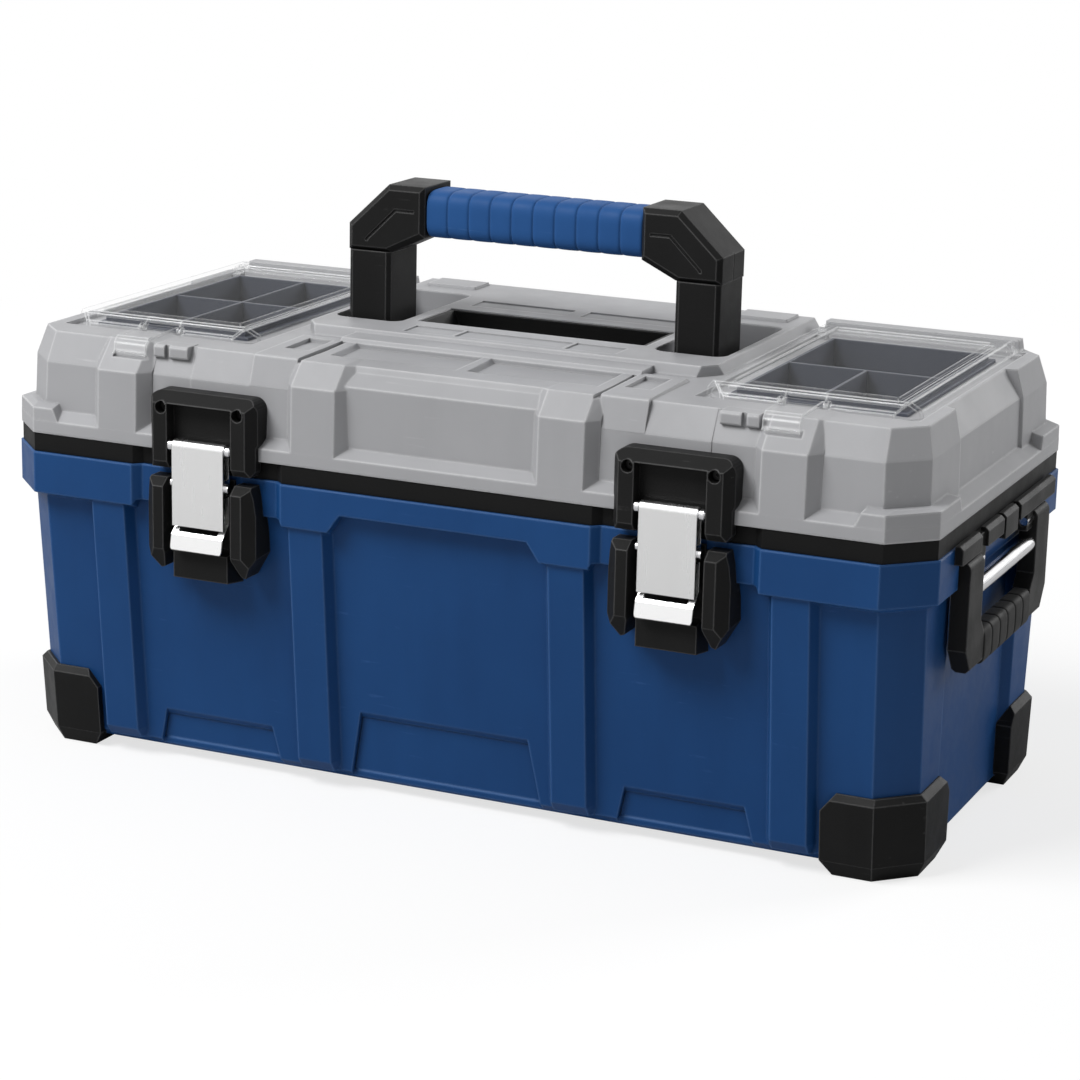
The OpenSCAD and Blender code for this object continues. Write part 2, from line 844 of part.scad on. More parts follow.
module organiser_seat() {
  translate([0, 0, seat_z])
    linear_extrude(height = 60)
      square_between(org_x0 - seat_gap, org_y0 - seat_gap, org_x1 + seat_gap,
                     org_y1 + seat_gap + 2);
  translate([0, 0, lid_z])
    linear_extrude(height = 100)
      square_between(bin_x0 - bin_wall - bin_play, bin_y0 - bin_wall - bin_play,
                     bin_x1 + bin_wall + bin_play, bin_y1 + bin_wall + bin_play);
}

// rim round each bin opening, under the seat
module seat_rim() {
  translate([0, 0, seat_z - lid_wall - 3])
    linear_extrude(height = lid_wall + 3 - eps)
      square_between(org_x0 - seat_gap - 2, org_y0 - seat_gap - 3, org_x1 + seat_gap,
                     org_y1 + seat_gap + 4);
}

// ears on the seat that carry the organiser lid at its rear corners
module organiser_ears() {
  for (x = [org_x0 - 1, org_x1 - ear_w + 1])
    difference() {
      ear_body(x);
      translate([x - 1, org_axis_y, org_axis_z])
        rotate([0, 90, 0]) cylinder(r = org_pin_r + fit, h = ear_w + 2);
    }
}
module ear_body(x) {
  translate([x, org_axis_y, org_axis_z])
    rotate([0, 90, 0]) cylinder(r = org_knuckle_r, h = ear_w);
  translate([x, org_axis_y - org_knuckle_r, seat_z - 1])
    cube([ear_w, 2 * org_knuckle_r, org_axis_z - seat_z + 1]);
}

// notch in the outer rib under each clip
notch_play = 0.8;
notch_y = hd - 10.8;
notch_z = deck_z - 8.2;
module clip_notch(t) {
  w = clip_w / 2 + notch_play + t;
  translate([clip_x, 0, 0])
    along_x(2 * w)
      polygon([
        [-notch_y + t, deck_z + 2], [-notch_y + t, notch_z - gap - t],
        [-hd - 4, notch_z - gap - t], [-hd - 4, deck_z + 2]
      ]);
}

// ---- rear hinges ----
axis_y = hd + 6.5;
axis_z = rim_z + 5;
hinge_w = 84;
// [start, end] of the knuckles along the hinge, from its left end
case_knuckles = [[0, 18], [33, 51], [66, 84]];
lid_knuckles = [[18, 33], [51, 66]];

module knuckle_run(spans, play) {
  for (s = spans)
    translate([hinge_x - hinge_w / 2 + s[0] + play, axis_y, axis_z])
      rotate([0, 90, 0]) cylinder(r = knuckle_r, h = s[1] - s[0] - 2 * play);
}

module lid_knuckle_webs() {
  for (s = lid_knuckles)
    translate([hinge_x - hinge_w / 2 + s[0] + gap / 2, 0, 0])
      rotate([90, 0, 90])
        linear_extrude(height = s[1] - s[0] - gap)
          polygon([
            [hd - 3, lid_z + 0.4], [axis_y - 2, lid_z + 0.4], [axis_y - 3, axis_z],
            [axis_y + knuckle_r, axis_z], [axis_y + knuckle_r, lid_z + 2],
            [hd, flange_z + 3], [hd - 6, flange_z + 3]
          ]);
}

module lid_hinge_parts() {
  both_x() {
    knuckle_run(lid_knuckles, gap / 2);
    lid_knuckle_webs();
  }
}

module hinge_bores(r) {
  both_x()
    bar_at_hinge(r, hinge_w + 20);
}
module bar_at_hinge(r, l) {
  translate([hinge_x, 0, 0]) bar_x(r, l, axis_y, axis_z);
}

// ---- lid shell ----
module lid_shell() {
  color(grey)
    difference() {
      union() {
        difference() {
          union() {
            difference() {
              lid_form(0);
              shallow_panels();
            }
            shoes();
            deck_blocks();
            clip_blocks();
          }
          difference() {
            translate([0, 0, -eps]) lid_form(lid_wall);
            // the foot of the wall is thicker over the step of the seal
            latch_step_cut(lid_z - 1, flange_z, hd, lid_wall);
          }
        }
        both_x() {
          pocket_wall_solid();
          intersection() {
            seat_rim();
            lid_form(1);
          }
          intersection() {
            clip_notch(2.5);
            lid_form(1);
          }
        }
        well_rim();
        lid_hinge_parts();
      }
      both_x() {
        difference() {
          pocket_space();
          pocket_bosses();
        }
        translate([leg_x, 0, 0]) bar_x(handle_pin_r + fit, leg_w + 50, leg_y, pivot_z);
        difference() {
          organiser_seat();
          organiser_ears();
        }
        clip_notch(0);
      }
      well_hole(tray_play, plateau_z - well_deep - tray_t - tray_play);
      deck_pockets();
      hinge_bores(hinge_pin_r + fit);
      latch_screw_set(latch_screw_r);
    }
}

// walls round the well for the black tray
module well_rim() {
  low = plateau_z - well_deep - tray_t - tray_play - 2;
  translate([0, 0, low])
    linear_extrude(height = deck_z - 1 - low)
      square_between(-well_hx - 2.5, well_y0 - 2.5, well_hx + 2.5, well_y1 + 2.5);
}

// ---- organiser bins ----
// each cell is [x0, y0, x1, y1] as shares of the bin
cells_left = [[0, 0, 0.5, 0.5], [0.5, 0, 1, 0.5], [0, 0.5, 0.5, 1], [0.5, 0.5, 1, 1]];
cells_right = [[0, 0, 0.5, 0.5], [0.5, 0, 1, 0.5], [0, 0.5, 1, 1]];
bin_floor_z = bin_top - bin_depth;
module organiser_bin(side, cells) {
  w = bin_x1 - bin_x0;
  d = bin_y1 - bin_y0;
  half = bin_wall / 2;
  color(bin_grey)
    mirror([side < 0 ? 1 : 0, 0, 0])
      difference() {
        union() {
          translate([0, 0, bin_floor_z - bin_wall])
            linear_extrude(height = bin_top - bin_floor_z + bin_wall)
              square_between(bin_x0 - bin_wall, bin_y0 - bin_wall, bin_x1 + bin_wall,
                             bin_y1 + bin_wall);
          translate([0, 0, seat_z])
            linear_extrude(height = 1.8)
              square_between(bin_x0 - bin_flange, bin_y0 - bin_flange, bin_x1 + bin_flange,
                             bin_y1 + bin_flange);
        }
        for (c = cells) {
          x0 = bin_x0 + c[0] * w + (c[0] > 0 ? half : 0);
          y0 = bin_y0 + c[1] * d + (c[1] > 0 ? half : 0);
          x1 = bin_x0 + c[2] * w - (c[2] < 1 ? half : 0);
          y1 = bin_y0 + c[3] * d - (c[3] < 1 ? half : 0);
          translate([0, 0, bin_floor_z]) linear_extrude(height = 100) square_between(x0, y0, x1, y1);
        }
      }
}

// ---- organiser lids ----
org_cut = 12;
skirt_z = seat_z + 0.6;
brim_z = deck_z + 3;
frame_z = deck_z + 8;
pane_z = bin_top + 0.6;
frame_in = 15;
module org_outline(t, back) {
  x0 = org_x0 + t;
  x1 = org_x1 - t;
  y0 = org_y0 + t;
  y1 = back;
  c = org_cut - t * 0.4;
  polygon([
    [x0 + c, y0], [x1 - c, y0], [x1, y0 + c], [x1, y1], [x0, y1], [x0, y0 + c]
  ]);
}
// outer form of a clear lid: [height, inset]
org_back = org_axis_y;
module org_form(t) {
  levels = [[skirt_z, t], [brim_z - t, t + 0.4], [frame_z - t, t + 5.5]];
  intersection() {
    translate([0, 0, skirt_z]) linear_extrude(height = 60) org_outline(t, org_back);
    along_y(2 * far)
      polygon(concat(
        [for (v = levels) [org_x1 - v[1], v[0]]],
        [for (v = reversed(levels)) [org_x0 + v[1], v[0]]]
      ));
    along_x(2 * far)
      polygon(concat(
        [for (v = levels) [org_y0 + v[1], v[0]]],
        [for (v = reversed(levels)) [org_y1 + 1 - v[1], v[0]]]
      ));
  }
}

clip_axis_y = org_y0 + 1;
clip_axis_z = deck_z + 2.2;
clip_pin_r = 1.3;
clip_barrel_r = 2.3;
clip_ear_w = 3;
module organiser_lid(side) {
  color(clear)
    mirror([side < 0 ? 1 : 0, 0, 0])
      difference() {
        union() {
          difference() {
            org_form(0);
            // hollow under the brim and frame
            translate([0, 0, -eps])
              intersection() {
                org_form(clear_t);
                translate([0, 0, skirt_z - 1])
                  linear_extrude(height = 60)
                    org_outline(clear_t, org_axis_y - org_knuckle_r - 0.8);
              }
            // the pane lies lower than the frame
            translate([0, 0, pane_z + clear_t])
              linear_extrude(height = 60)
                square_between(org_x0 + frame_in, org_y0 + frame_in, org_x1 - frame_in,
                               org_axis_y - frame_in + 2);
            // room for the clip in the front skirt
            translate([clip_x - clip_w / 2 - gap, org_y0 - 1, skirt_z - 1])
              cube([clip_w + 2 * gap, 6.5, frame_z - skirt_z + 2]);
          }
          translate([0, 0, pane_z])
            linear_extrude(height = clear_t)
              square_between(org_x0 + frame_in - 3, org_y0 + frame_in - 3,
                             org_x1 - frame_in + 3, org_axis_y - frame_in + 5);
          frame_walls();
          // rear roll between the ears
          translate([org_x0 + ear_w - 1 + gap, org_axis_y, org_axis_z])
            rotate([0, 90, 0])
              cylinder(r = org_knuckle_r - 0.2, h = org_x1 - org_x0 - 2 * (ear_w - 1 + gap));
          // stub pins that turn in the ears
          translate([org_x0 - 1, org_axis_y, org_axis_z])
            rotate([0, 90, 0]) cylinder(r = org_pin_r, h = org_x1 - org_x0 + 2);
          // ears for the clip
          for (x = [clip_x - clip_w / 2 - gap - clip_ear_w, clip_x + clip_w / 2 + gap])
            translate([x, clip_axis_y, clip_axis_z])
              rotate([0, 90, 0]) cylinder(r = clip_barrel_r, h = clip_ear_w);
        }
        // the corners make room for the ears
        for (x = [org_x0 - 2, org_x1 - ear_w + 1 - gap])
          difference() {
            translate([x, org_axis_y - org_knuckle_r - 1, skirt_z - 1])
              cube([ear_w + 1 + gap, 20, 9]);
            translate([org_x0 - 3, org_axis_y, org_axis_z])
              rotate([0, 90, 0]) cylinder(r = org_pin_r, h = org_x1 - org_x0 + 6);
          }
        translate([clip_x, 0, 0])
          bar_x(clip_pin_r + fit, clip_w + 2 * gap + 2 * clip_ear_w + 1, clip_axis_y, clip_axis_z);
      }
}
// inner walls of the frame, down to the pane
module frame_walls() {
  translate([0, 0, pane_z])
    linear_extrude(height = frame_z - pane_z - clear_t / 2)
      difference() {
        square_between(org_x0 + frame_in - clear_t, org_y0 + frame_in - clear_t,
                       org_x1 - frame_in + clear_t, org_axis_y - frame_in + 2 + clear_t);
        square_between(org_x0 + frame_in, org_y0 + frame_in, org_x1 - frame_in,
                       org_axis_y - frame_in + 2);
      }
}

module organiser_clip(side) {
  reach = notch_y + clear_t / 2 + 0.9;
  color(clear)
    mirror([side < 0 ? 1 : 0, 0, 0]) {
      translate([clip_x - clip_w / 2, clip_axis_y, clip_axis_z])
        rotate([0, 90, 0]) cylinder(r = clip_barrel_r, h = clip_w);
      translate([clip_x, 0, 0])
        bar_x(clip_pin_r, clip_w + 2 * gap + 2 * clip_ear_w - 0.4, clip_axis_y, clip_axis_z);
      translate([clip_x - clip_w / 2, 0, 0])
        rotate([90, 0, 90])
          linear_extrude(height = clip_w)
            polygon(strip([
              [clip_axis_y - 1, clip_axis_z + 1.2], [-reach + 3, deck_z + 2.4], [-reach, deck_z - 0.5],
              [-reach - 0.2, notch_z + 3.2], [-reach - 1.4, notch_z + 1.4]
            ], clear_t));
    }
}

// ---- latches ----
latch_pin_y = -hd - 6.5;
latch_pin_z = lid_z + 5;
leg_front = hd + 9;
leg_back = hd - 2.3;
leg_low = lid_z - 8.5;
housing_top = lid_z + 35;
window_hx = 20.5;
panel_t = 1;
// thin ends of the latch pin, held in the legs
journal_r = 1.6;
journal_hx = 26;
housing_round = 7;
module housing_outline() {
  w = housing_w / 2;
  out = w + 0.8;
  round_corner = [
    for (a = [0:15:90])
      [out - housing_round * (1 - cos(a)), housing_top - housing_round * (1 - sin(a))]
  ];
  polygon(mirrored_outline(concat([[w - 2, leg_low], [w, leg_low + 3], [w, lid_z + 8],
                                   [out, lid_z + 9.5]], round_corner)));
}

module latch_housing(side) {
  w = housing_w / 2 + 1;
  color(black)
    translate([side * latch_x, 0, 0])
      difference() {
        intersection() {
          along_y(2 * far) housing_outline();
          along_x(2 * w)
            polygon([
              [-leg_back, leg_low], [-leg_front + 3, leg_low], [-leg_front, leg_low + 4],
              [-leg_front, housing_top - 6], [-leg_front + 8.5, housing_top],
              [-hd + 9, housing_top], [-hd + 8, ledge_z], [-hd, flange_z],
              [-hd, lid_z - gap], [-leg_back, lid_z - gap]
            ]);
          translate([0, 0, leg_low - 1])
            linear_extrude(height = 80)
              polygon([
                [-w, -hd + 20], [-w, -leg_front + 7], [-w + 5, -leg_front],
                [w - 5, -leg_front], [w, -leg_front + 7], [w, -hd + 20]
              ]);
        }
        // recess for the lever, open between the legs
        translate([-window_hx, -far, leg_low - 1])
          cube([2 * window_hx, far - hd - panel_t, housing_top - 5 - leg_low]);
        translate([-window_hx, -far, leg_low - 1])
          cube([2 * window_hx, far, lid_z - gap - leg_low + 1]);
        bar_x(journal_r, 2 * journal_hx + 1, latch_pin_y, latch_pin_z);
        for (x = [-screw_dx, screw_dx])
          translate([x, -leg_front - 1, screw_z])
            rotate([-90, 0, 0]) {
              cylinder(r = screw_well_r, h = screw_well_deep + 1);
              cylinder(r = latch_screw_r, h = 30);
            }
      }
}

screw_dx = 24.5;
screw_z = housing_top - 8.5;
screw_well_r = 3.4;
screw_well_deep = 8;
latch_screw_r = 1.8;
screw_head_r = 3;
screw_head_h = 2.2;
screw_reach = 6;
module latch_screw_set(r) {
  both_x()
    for (x = [-screw_dx, screw_dx])
      translate([latch_x + x, -leg_front + screw_well_deep - 1, screw_z])
        rotate([-90, 0, 0]) cylinder(r = r, h = leg_front - hd + 10 + screw_reach - screw_well_deep);
}

module latch_screws() {
  color(black) {
    latch_screw_set(latch_screw_r);
    both_x()
      for (x = [-screw_dx, screw_dx])
        translate([latch_x + x, -leg_front + screw_well_deep - screw_head_h, screw_z])
          rotate([-90, 0, 0])
            difference() {
              cylinder(r = screw_head_r, h = screw_head_h);
              translate([0, 0, -1]) cylinder(r = 1.4, h = 2.2, $fn = 4);
            }
  }
}

module latch_pin(side) {
  color(steel)
    translate([side * latch_x, 0, 0]) {
      bar_x(journal_r, 2 * journal_hx, latch_pin_y, latch_pin_z);
      bar_x(latch_pin_r - 0.5, 2 * window_hx - 1, latch_pin_y, latch_pin_z);
      for (x = [-1, 1])
        translate([x * (lever_w / 2 + 1.9), 0, 0])
          bar_x(latch_pin_r + 0.2, 2.4, latch_pin_y, latch_pin_z);
    }
}

// folded steel lever: rolled round the pin, a front plate, a rear leaf that
// bends forward below the plate, and a lip
roll_in = latch_pin_r - 0.5 + fit;
plate_low = rim_z - 29.5;
lip_low = rim_z - 43;
lever_front = latch_pin_y - roll_in - lever_t;
leaf_y = latch_pin_y + roll_in + lever_t / 2;
lip_round = 3;
module latch_lever(side) {
  w = lever_w / 2;
  color(steel)
    translate([side * latch_x, 0, 0])
      difference() {
        union() {
          bar_x(roll_in + lever_t, lever_w, latch_pin_y, latch_pin_z);
          translate([-w, lever_front, plate_low])
            cube([lever_w, lever_t, latch_pin_z - plate_low]);
          along_x(lever_w)
            polygon(strip([
              [leaf_y, latch_pin_z], [leaf_y, plate_low + 2.5], [lever_front + 1, plate_low - 3.6],
              [lever_front - 0.4, plate_low - 5.2], [lever_front - 2.2, lip_low]
            ], lever_t));
          // ears that the rivets pass
          for (x = [-1, 1])
            translate([x * (w - lever_t / 2), 0, 0])
              along_x(lever_t)
                polygon([
                  [lever_front + lever_t / 2, rivet_z - 5], [leaf_y, rivet_z - 5],
                  [leaf_y, rivet_z + 5], [lever_front + lever_t / 2, rivet_z + 5]
                ]);
        }
        bar_x(roll_in, lever_w + 2, latch_pin_y, latch_pin_z);
        bar_x(rivet_r, lever_w + 2, rivet_y, rivet_z);
        // slot between the plate and the lip, and a window over the keeper nose
        translate([-w + 4, lever_front + 0.6, plate_low - 4])
          cube([lever_w - 8, leaf_y - lever_front - 1.6, 5]);
        translate([-9, leaf_y - 2.5, plate_low + 5.5]) cube([18, 5, 12]);
        // rounded corners of the lip
        for (x = [-1, 1])
          translate([x * (w - lip_round), lever_front, lip_low + lip_round - lever_t / 2])
            rotate([90, 0, 0])
              difference() {
                translate([x > 0 ? 0 : -2 * lip_round, -2 * lip_round, -6])
                  cube([2 * lip_round, 2 * lip_round, 12]);
                cylinder(r = lip_round, h = 14, center = true);
              }
      }
}

rivet_z = rim_z - 5.5;
rivet_y = latch_pin_y;
rivet_r = 1.6;
module latch_rivets(side) {
  color(steel)
    translate([side * latch_x, 0, 0])
      for (x = [-1, 1]) {
        translate([x * (lever_w / 2 - lever_t / 2), 0, 0])
          bar_x(rivet_r, lever_t, rivet_y, rivet_z);
        translate([x * (lever_w / 2 + 1), 0, 0]) bar_x(rivet_r + 0.9, 2, rivet_y, rivet_z);
      }
}

// keeper on the body: a boss behind the lever between two wings
boss_w = 35;
boss_low = rim_z - 60.5;
boss_top = lip_low - 1.8;
boss_front = hd + 7.5;
spine_front = hd - 1.1;
nose_front = hd + 0.6;
wing_in = 21.7;
wing_face = 28.3;
wing_out = 34.8;
wing_low = rim_z - 57;
wing_front = hd + 11.7;
module latch_keeper(side) {
  color(black)
    difference() {
      translate([side * latch_x, 0, 0]) {
        // boss and the spine above it
        along_x(boss_w)
          polygon([
            [-hd + 20, boss_low - 4], [-boss_front, boss_low], [-boss_front, boss_top],
            [-spine_front, boss_top + 2], [-spine_front, rim_z - 2], [-hd + 20, rim_z - 2]
          ]);
        // nose that stands in the window of the lever
        along_x(14)
          polygon([
            [-hd + 5, plate_low + 7], [-nose_front, plate_low + 9],
            [-nose_front, plate_low + 12], [-hd + 5, plate_low + 17]
          ]);
        // plate that joins boss and wings
        along_x(2 * wing_in + 4)
          polygon([
            [-hd + 20, rim_z - 44], [-hd + 4, rim_z - 44], [-hd + 1.6, rim_z - 24],
            [-hd + 1.6, rim_z - 5], [-hd + 20, rim_z - 5]
          ]);
        wings();
      }
      body_outer();
      collar();
    }
}

module wings() {
  intersection() {
    along_y(2 * far)
      for (turn = [0, 1])
        mirror([turn, 0])
          polygon([
            [wing_in, rim_z - 3], [wing_out - 2.5, rim_z - 3], [wing_out - 1, rim_z - 10],
            [wing_out + 2.2, rim_z - 41], [wing_face - 1, wing_low],
            [wing_face - 3.5, wing_low + 1], [wing_in, rim_z - 46]
          ]);
    along_x(3 * wing_out)
      polygon([
        [-hd + 20, wing_low - 1], [-hd - 3.5, wing_low - 1], [-wing_front, rim_z - 44],
        [-wing_front, rim_z - 7.5], [-wing_front + 5.5, rim_z - 3], [-hd + 20, rim_z - 3]
      ]);
    translate([0, 0, wing_low - 2])
      linear_extrude(height = 80)
        polygon([
          [-wing_out - 2, -hd + 20], [-wing_out, -hd - 5.5], [-wing_face, -wing_front - 0.1],
          [wing_face, -wing_front - 0.1], [wing_out, -hd - 5.5], [wing_out + 2, -hd + 20]
        ]);
  }
}

// ---- carry handle ----
grip_top = handle_top - 1.5;
grip_z = grip_top - grip_h / 2;
arm_top = handle_top;
arm_under = grip_top - grip_h + 1;
bend_z = handle_top - 24;
bend_x = leg_x - 12;
arm_end = grip_l / 2;
split_z = handle_top - 39;
leg_out = leg_x + leg_w / 2;
leg_in = leg_x - leg_w / 2;
core_d = 20;
core_h = 16;
leg_cut = 2.5;
elbow_over = 0.6;
elbow_bevel = 3;

// outline of one elbow seen from the front, drawn in by t
module elbow_outline(t) {
  cap = max(t, 0);
  polygon([
    [leg_in + t, split_z + cap], [leg_out - t, split_z + cap], [leg_out - t, bend_z - t * 0.4],
    [bend_x - t * 0.4, arm_top - t], [arm_end + cap, arm_top - t], [arm_end + cap, arm_under + t],
    [arm_end + 5, arm_under + t]
  ]);
}

module handle_frame() {
  color(black)
    difference() {
      union() {
        both_x() {
          intersection() {
            // leg with bevelled corners and a round foot about its pivot
            translate([leg_x, leg_y, pocket_z])
              linear_extrude(height = split_z - pocket_z)
                polygon([
                  for (s = [[-1, -1], [1, -1], [1, 1], [-1, 1]], k = [0, 1])
                    [s[0] * (leg_w / 2 - leg_cut * ((s[0] * s[1] > 0) == (k == 0) ? 0 : 1)),
                     s[1] * (leg_d / 2 - leg_cut * ((s[0] * s[1] > 0) == (k == 0) ? 1 : 0))]
                ]);
            translate([leg_x, 0, 0])
              union() {
                bar_x(leg_d / 2, leg_w, leg_y, pivot_z);
                translate([-leg_w / 2, leg_y - leg_d / 2, pivot_z])
                  cube([leg_w, leg_d, split_z - pivot_z]);
              }
          }
          // tongue inside the elbow
          translate([0, leg_y, 0])
            along_y(core_d)
              polygon([
                [leg_in + 5, split_z - 1], [leg_out - 5, split_z - 1], [leg_out - 5, bend_z - 3],
                [bend_x - 2, grip_z + core_h / 2], [arm_end - 1, grip_z + core_h / 2],
                [arm_end - 1, grip_z - core_h / 2], [leg_in + 2, grip_z - core_h / 2]
              ]);
        }
        translate([0, leg_y, grip_z]) cube([2 * arm_end, core_d, core_h], center = true);
      }
      both_x()
        translate([leg_x, 0, 0]) bar_x(handle_pin_r + fit, leg_w + 2, leg_y, pivot_z);
    }
}

module handle_elbow(side) {
  over_d = leg_d + 2 * elbow_over;
  color(black)
    mirror([side < 0 ? 1 : 0, 0, 0])
      translate([0, leg_y, 0])
        difference() {
          hull() {
            along_y(over_d - 2 * elbow_bevel) elbow_outline(-elbow_over);
            along_y(over_d) elbow_outline(elbow_bevel - elbow_over);
          }
          // room for the tongue of the frame
          along_y(core_d)
            polygon([
              [leg_in + 5, split_z - 9], [leg_out - 5, split_z - 9], [leg_out - 5, bend_z - 3],
              [bend_x - 2, grip_z + core_h / 2], [arm_end - 9, grip_z + core_h / 2],
              [arm_end - 9, grip_z - core_h / 2], [leg_in + 2, grip_z - core_h / 2],
              [leg_in + 5, split_z - 1]
            ]);
          // slanted line sunk into the front and rear faces
          both_y()
            translate([0, -over_d / 2, 0])
              along_y(1.2)
                polygon(strip([
                  [arm_end + 6, arm_top - 14], [bend_x - 5, arm_top - 14],
                  [leg_out - 12, bend_z - 8], [leg_out - 12, split_z + 6]
                ], 1.4));
          // seam between the two halves of the elbow
          translate([leg_out + elbow_over, 0, split_z])
            cube([1.2, 0.6, 60], center = true);
        }
}

// A ringed grip along X: its rounded section is drawn in by the depth of the
// grooves between the rings. hw and hh are half its depth and half its height.
groove_w = 1.2;
groove_deep = 0.9;
grip_sides = 20;
grip_power = 4;
function grip_ring(x, hw, hh, t) = [
  for (i = [0:grip_sides - 1])
    let (
      a = -(i + 0.5) * 360 / grip_sides,
      r = pow(pow(abs(cos(a)) / (hw - t), grip_power) + pow(abs(sin(a)) / (hh - t), grip_power),
              -1 / grip_power)
    )
    [x, r * cos(a), r * sin(a)]
];
module ringed_grip(l, hw, hh, rings) {
  pitch = l / rings;
  // [place along one ring, share of the groove's depth]
  profile = [
    [0, 1], [groove_w * 0.6, 0.35], [groove_w, 0], [pitch - groove_w, 0],
    [pitch - groove_w * 0.6, 0.35]
  ];
  skin(concat(
    [for (i = [0:rings - 1], k = profile)
      grip_ring(i * pitch + k[0] - l / 2, hw, hh, k[1] * groove_deep)],
    [grip_ring(l / 2, hw, hh, groove_deep)]
  ));
}

module handle_grip() {
  color(grip_blue)
    translate([0, leg_y, grip_z])
      difference() {
        ringed_grip(grip_l - 1, grip_d / 2, grip_h / 2, grip_rings);
        cube([grip_l, core_d, core_h], center = true);
      }
}

module handle_pins() {
  color(steel)
    both_x()
      translate([(pocket_x0 + pocket_x1) / 2, 0, 0])
        bar_x(handle_pin_r, pocket_x1 - pocket_x0 + 2 * pocket_wall - 0.4, leg_y, pivot_z);
}

// ---- side handles ----
bail_t = 10.5;
bail_x = hl + 1.75;
bail_pivot_z = rim_z - 15;
bail_low = bail_pivot_z - bail_drop;
arm_w = 25;
bail_arm_in = bail_w / 2 - arm_w;
side_pin_r = 2.5;
hand_h = 19;
hand_hy = bail_w / 2 - 32;
lug_w = 11;

module side_handle(side) {
  w = bail_w / 2;
  color(black)
    mirror([side < 0 ? 1 : 0, 0, 0])
      difference() {
        intersection() {
          translate([bail_x, 0, 0])
            along_x(bail_t)
              difference() {
                polygon([
                  [-w + 1, bail_pivot_z + 6], [-w, bail_pivot_z - 6], [-w, bail_low + 15],
                  [-w + 11, bail_low], [w - 11, bail_low], [w, bail_low + 15],
                  [w, bail_pivot_z - 6], [w - 1, bail_pivot_z + 6]
                ]);
                polygon([
                  [-bail_arm_in, bail_pivot_z + 7], [-bail_arm_in, bail_low + 27],
                  [-hand_hy, bail_low + hand_h], [hand_hy, bail_low + hand_h],
                  [bail_arm_in, bail_low + 27], [bail_arm_in, bail_pivot_z + 7]
                ]);
              }
          // rounded top about the pivot, bevelled edges below
          union() {
            translate([bail_x, 0, bail_pivot_z])
              rotate([90, 0, 0]) cylinder(r = bail_t / 2, h = 2 * w + 2, center = true);
            along_y(2 * w + 2)
              polygon([
                [bail_x - bail_t / 2, bail_pivot_z], [bail_x + bail_t / 2, bail_pivot_z],
                [bail_x + bail_t / 2, bail_low + 3], [bail_x + bail_t / 2 - 3, bail_low],
                [bail_x - bail_t / 2 + 2, bail_low], [bail_x - bail_t / 2, bail_low + 2]
              ]);
          }
        }
        both_y()
          translate([bail_x, -bail_arm_in + 1, bail_pivot_z])
            rotate([90, 0, 0]) cylinder(r = side_pin_r + fit, h = arm_w - 3);
        // seat of the ribbed grip
        translate([bail_x - bail_t, -hand_hy, bail_low - 1])
          difference() {
            cube([2 * bail_t, 2 * hand_hy, hand_h + 2]);
            translate([bail_t - 3.2, -1, 4.5]) cube([6.4, 2 * hand_hy + 2, hand_h - 8]);
          }
      }
}

side_rings = 6;
grip_proud = 0.8;
module side_grip(side) {
  l = 2 * hand_hy - 0.6;
  color(black)
    mirror([side < 0 ? 1 : 0, 0, 0])
      difference() {
        translate([bail_x, 0, bail_low + hand_h / 2])
          rotate([0, 0, 90])
            ringed_grip(l, bail_t / 2 + grip_proud, hand_h / 2 + grip_proud, side_rings);
        translate([bail_x - 3.2, -hand_hy - 1, bail_low + 3.5])
          cube([6.4, 2 * hand_hy + 2, hand_h - 8]);
      }
}

tube_z = bail_pivot_z - 15;
module side_tube(side) {
  color(steel)
    mirror([side < 0 ? 1 : 0, 0, 0])
      translate([bail_x, 0, tube_z])
        rotate([90, 0, 0])
          difference() {
            cylinder(r = tube_r, h = 2 * bail_arm_in, center = true);
            cylinder(r = tube_r - 1.2, h = 2 * bail_arm_in + 2, center = true);
          }
}

module side_pins(side) {
  color(steel)
    mirror([side < 0 ? 1 : 0, 0, 0])
      both_y()
        translate([bail_x, -bail_arm_in + gap + lug_w - 1, bail_pivot_z])
          rotate([90, 0, 0]) cylinder(r = side_pin_r, h = lug_w + arm_w - 5.5);
}

// rail under the seal frame, with two lugs between the arms of the side handle
rail_x0 = wall_x(rim_z);
rail_x1 = hl + 6;
rail_z0 = rim_z - 8.3;
// pads on the face of the rail: [start, end, how far it hangs below the rail]
rail_pads = [[-91, -56, 0], [-44, -14, 0], [-10, 14, 4], [20, 91, 0]];
module side_rail(side) {
  color(black)
    mirror([side < 0 ? 1 : 0, 0, 0])
      difference() {
        union() {
          translate([rail_x0, -side_cut_y + 0.2, rail_z0])
            cube([rail_x1 - 2 - rail_x0, 2 * side_cut_y - 0.4, rim_z - 0.2 - rail_z0]);
          for (p = rail_pads)
            translate([collar_x + 0.3, p[0], rail_z0 - p[2]])
              rail_block(rail_x1 - collar_x - 0.3, p[1] - p[0], rim_z + 2 - rail_z0 + p[2]);
          both_y() {
            translate([rail_x0, -bail_arm_in + gap, rail_z0 - 12])
              cube([rail_x1 - 2 - rail_x0, lug_w, 13]);
          }
        }
        both_y()
          translate([bail_x, -bail_arm_in + gap + lug_w + 1, bail_pivot_z])
            rotate([90, 0, 0]) cylinder(r = side_pin_r + fit, h = lug_w + 2);
      }
}
// a block with its top outer edge bevelled
module rail_block(x, y, z) {
  translate([0, y / 2, 0])
    along_y(y)
      polygon([[0, 0], [x, 0], [x, z - 2], [x - 2, z], [0, z]]);
}

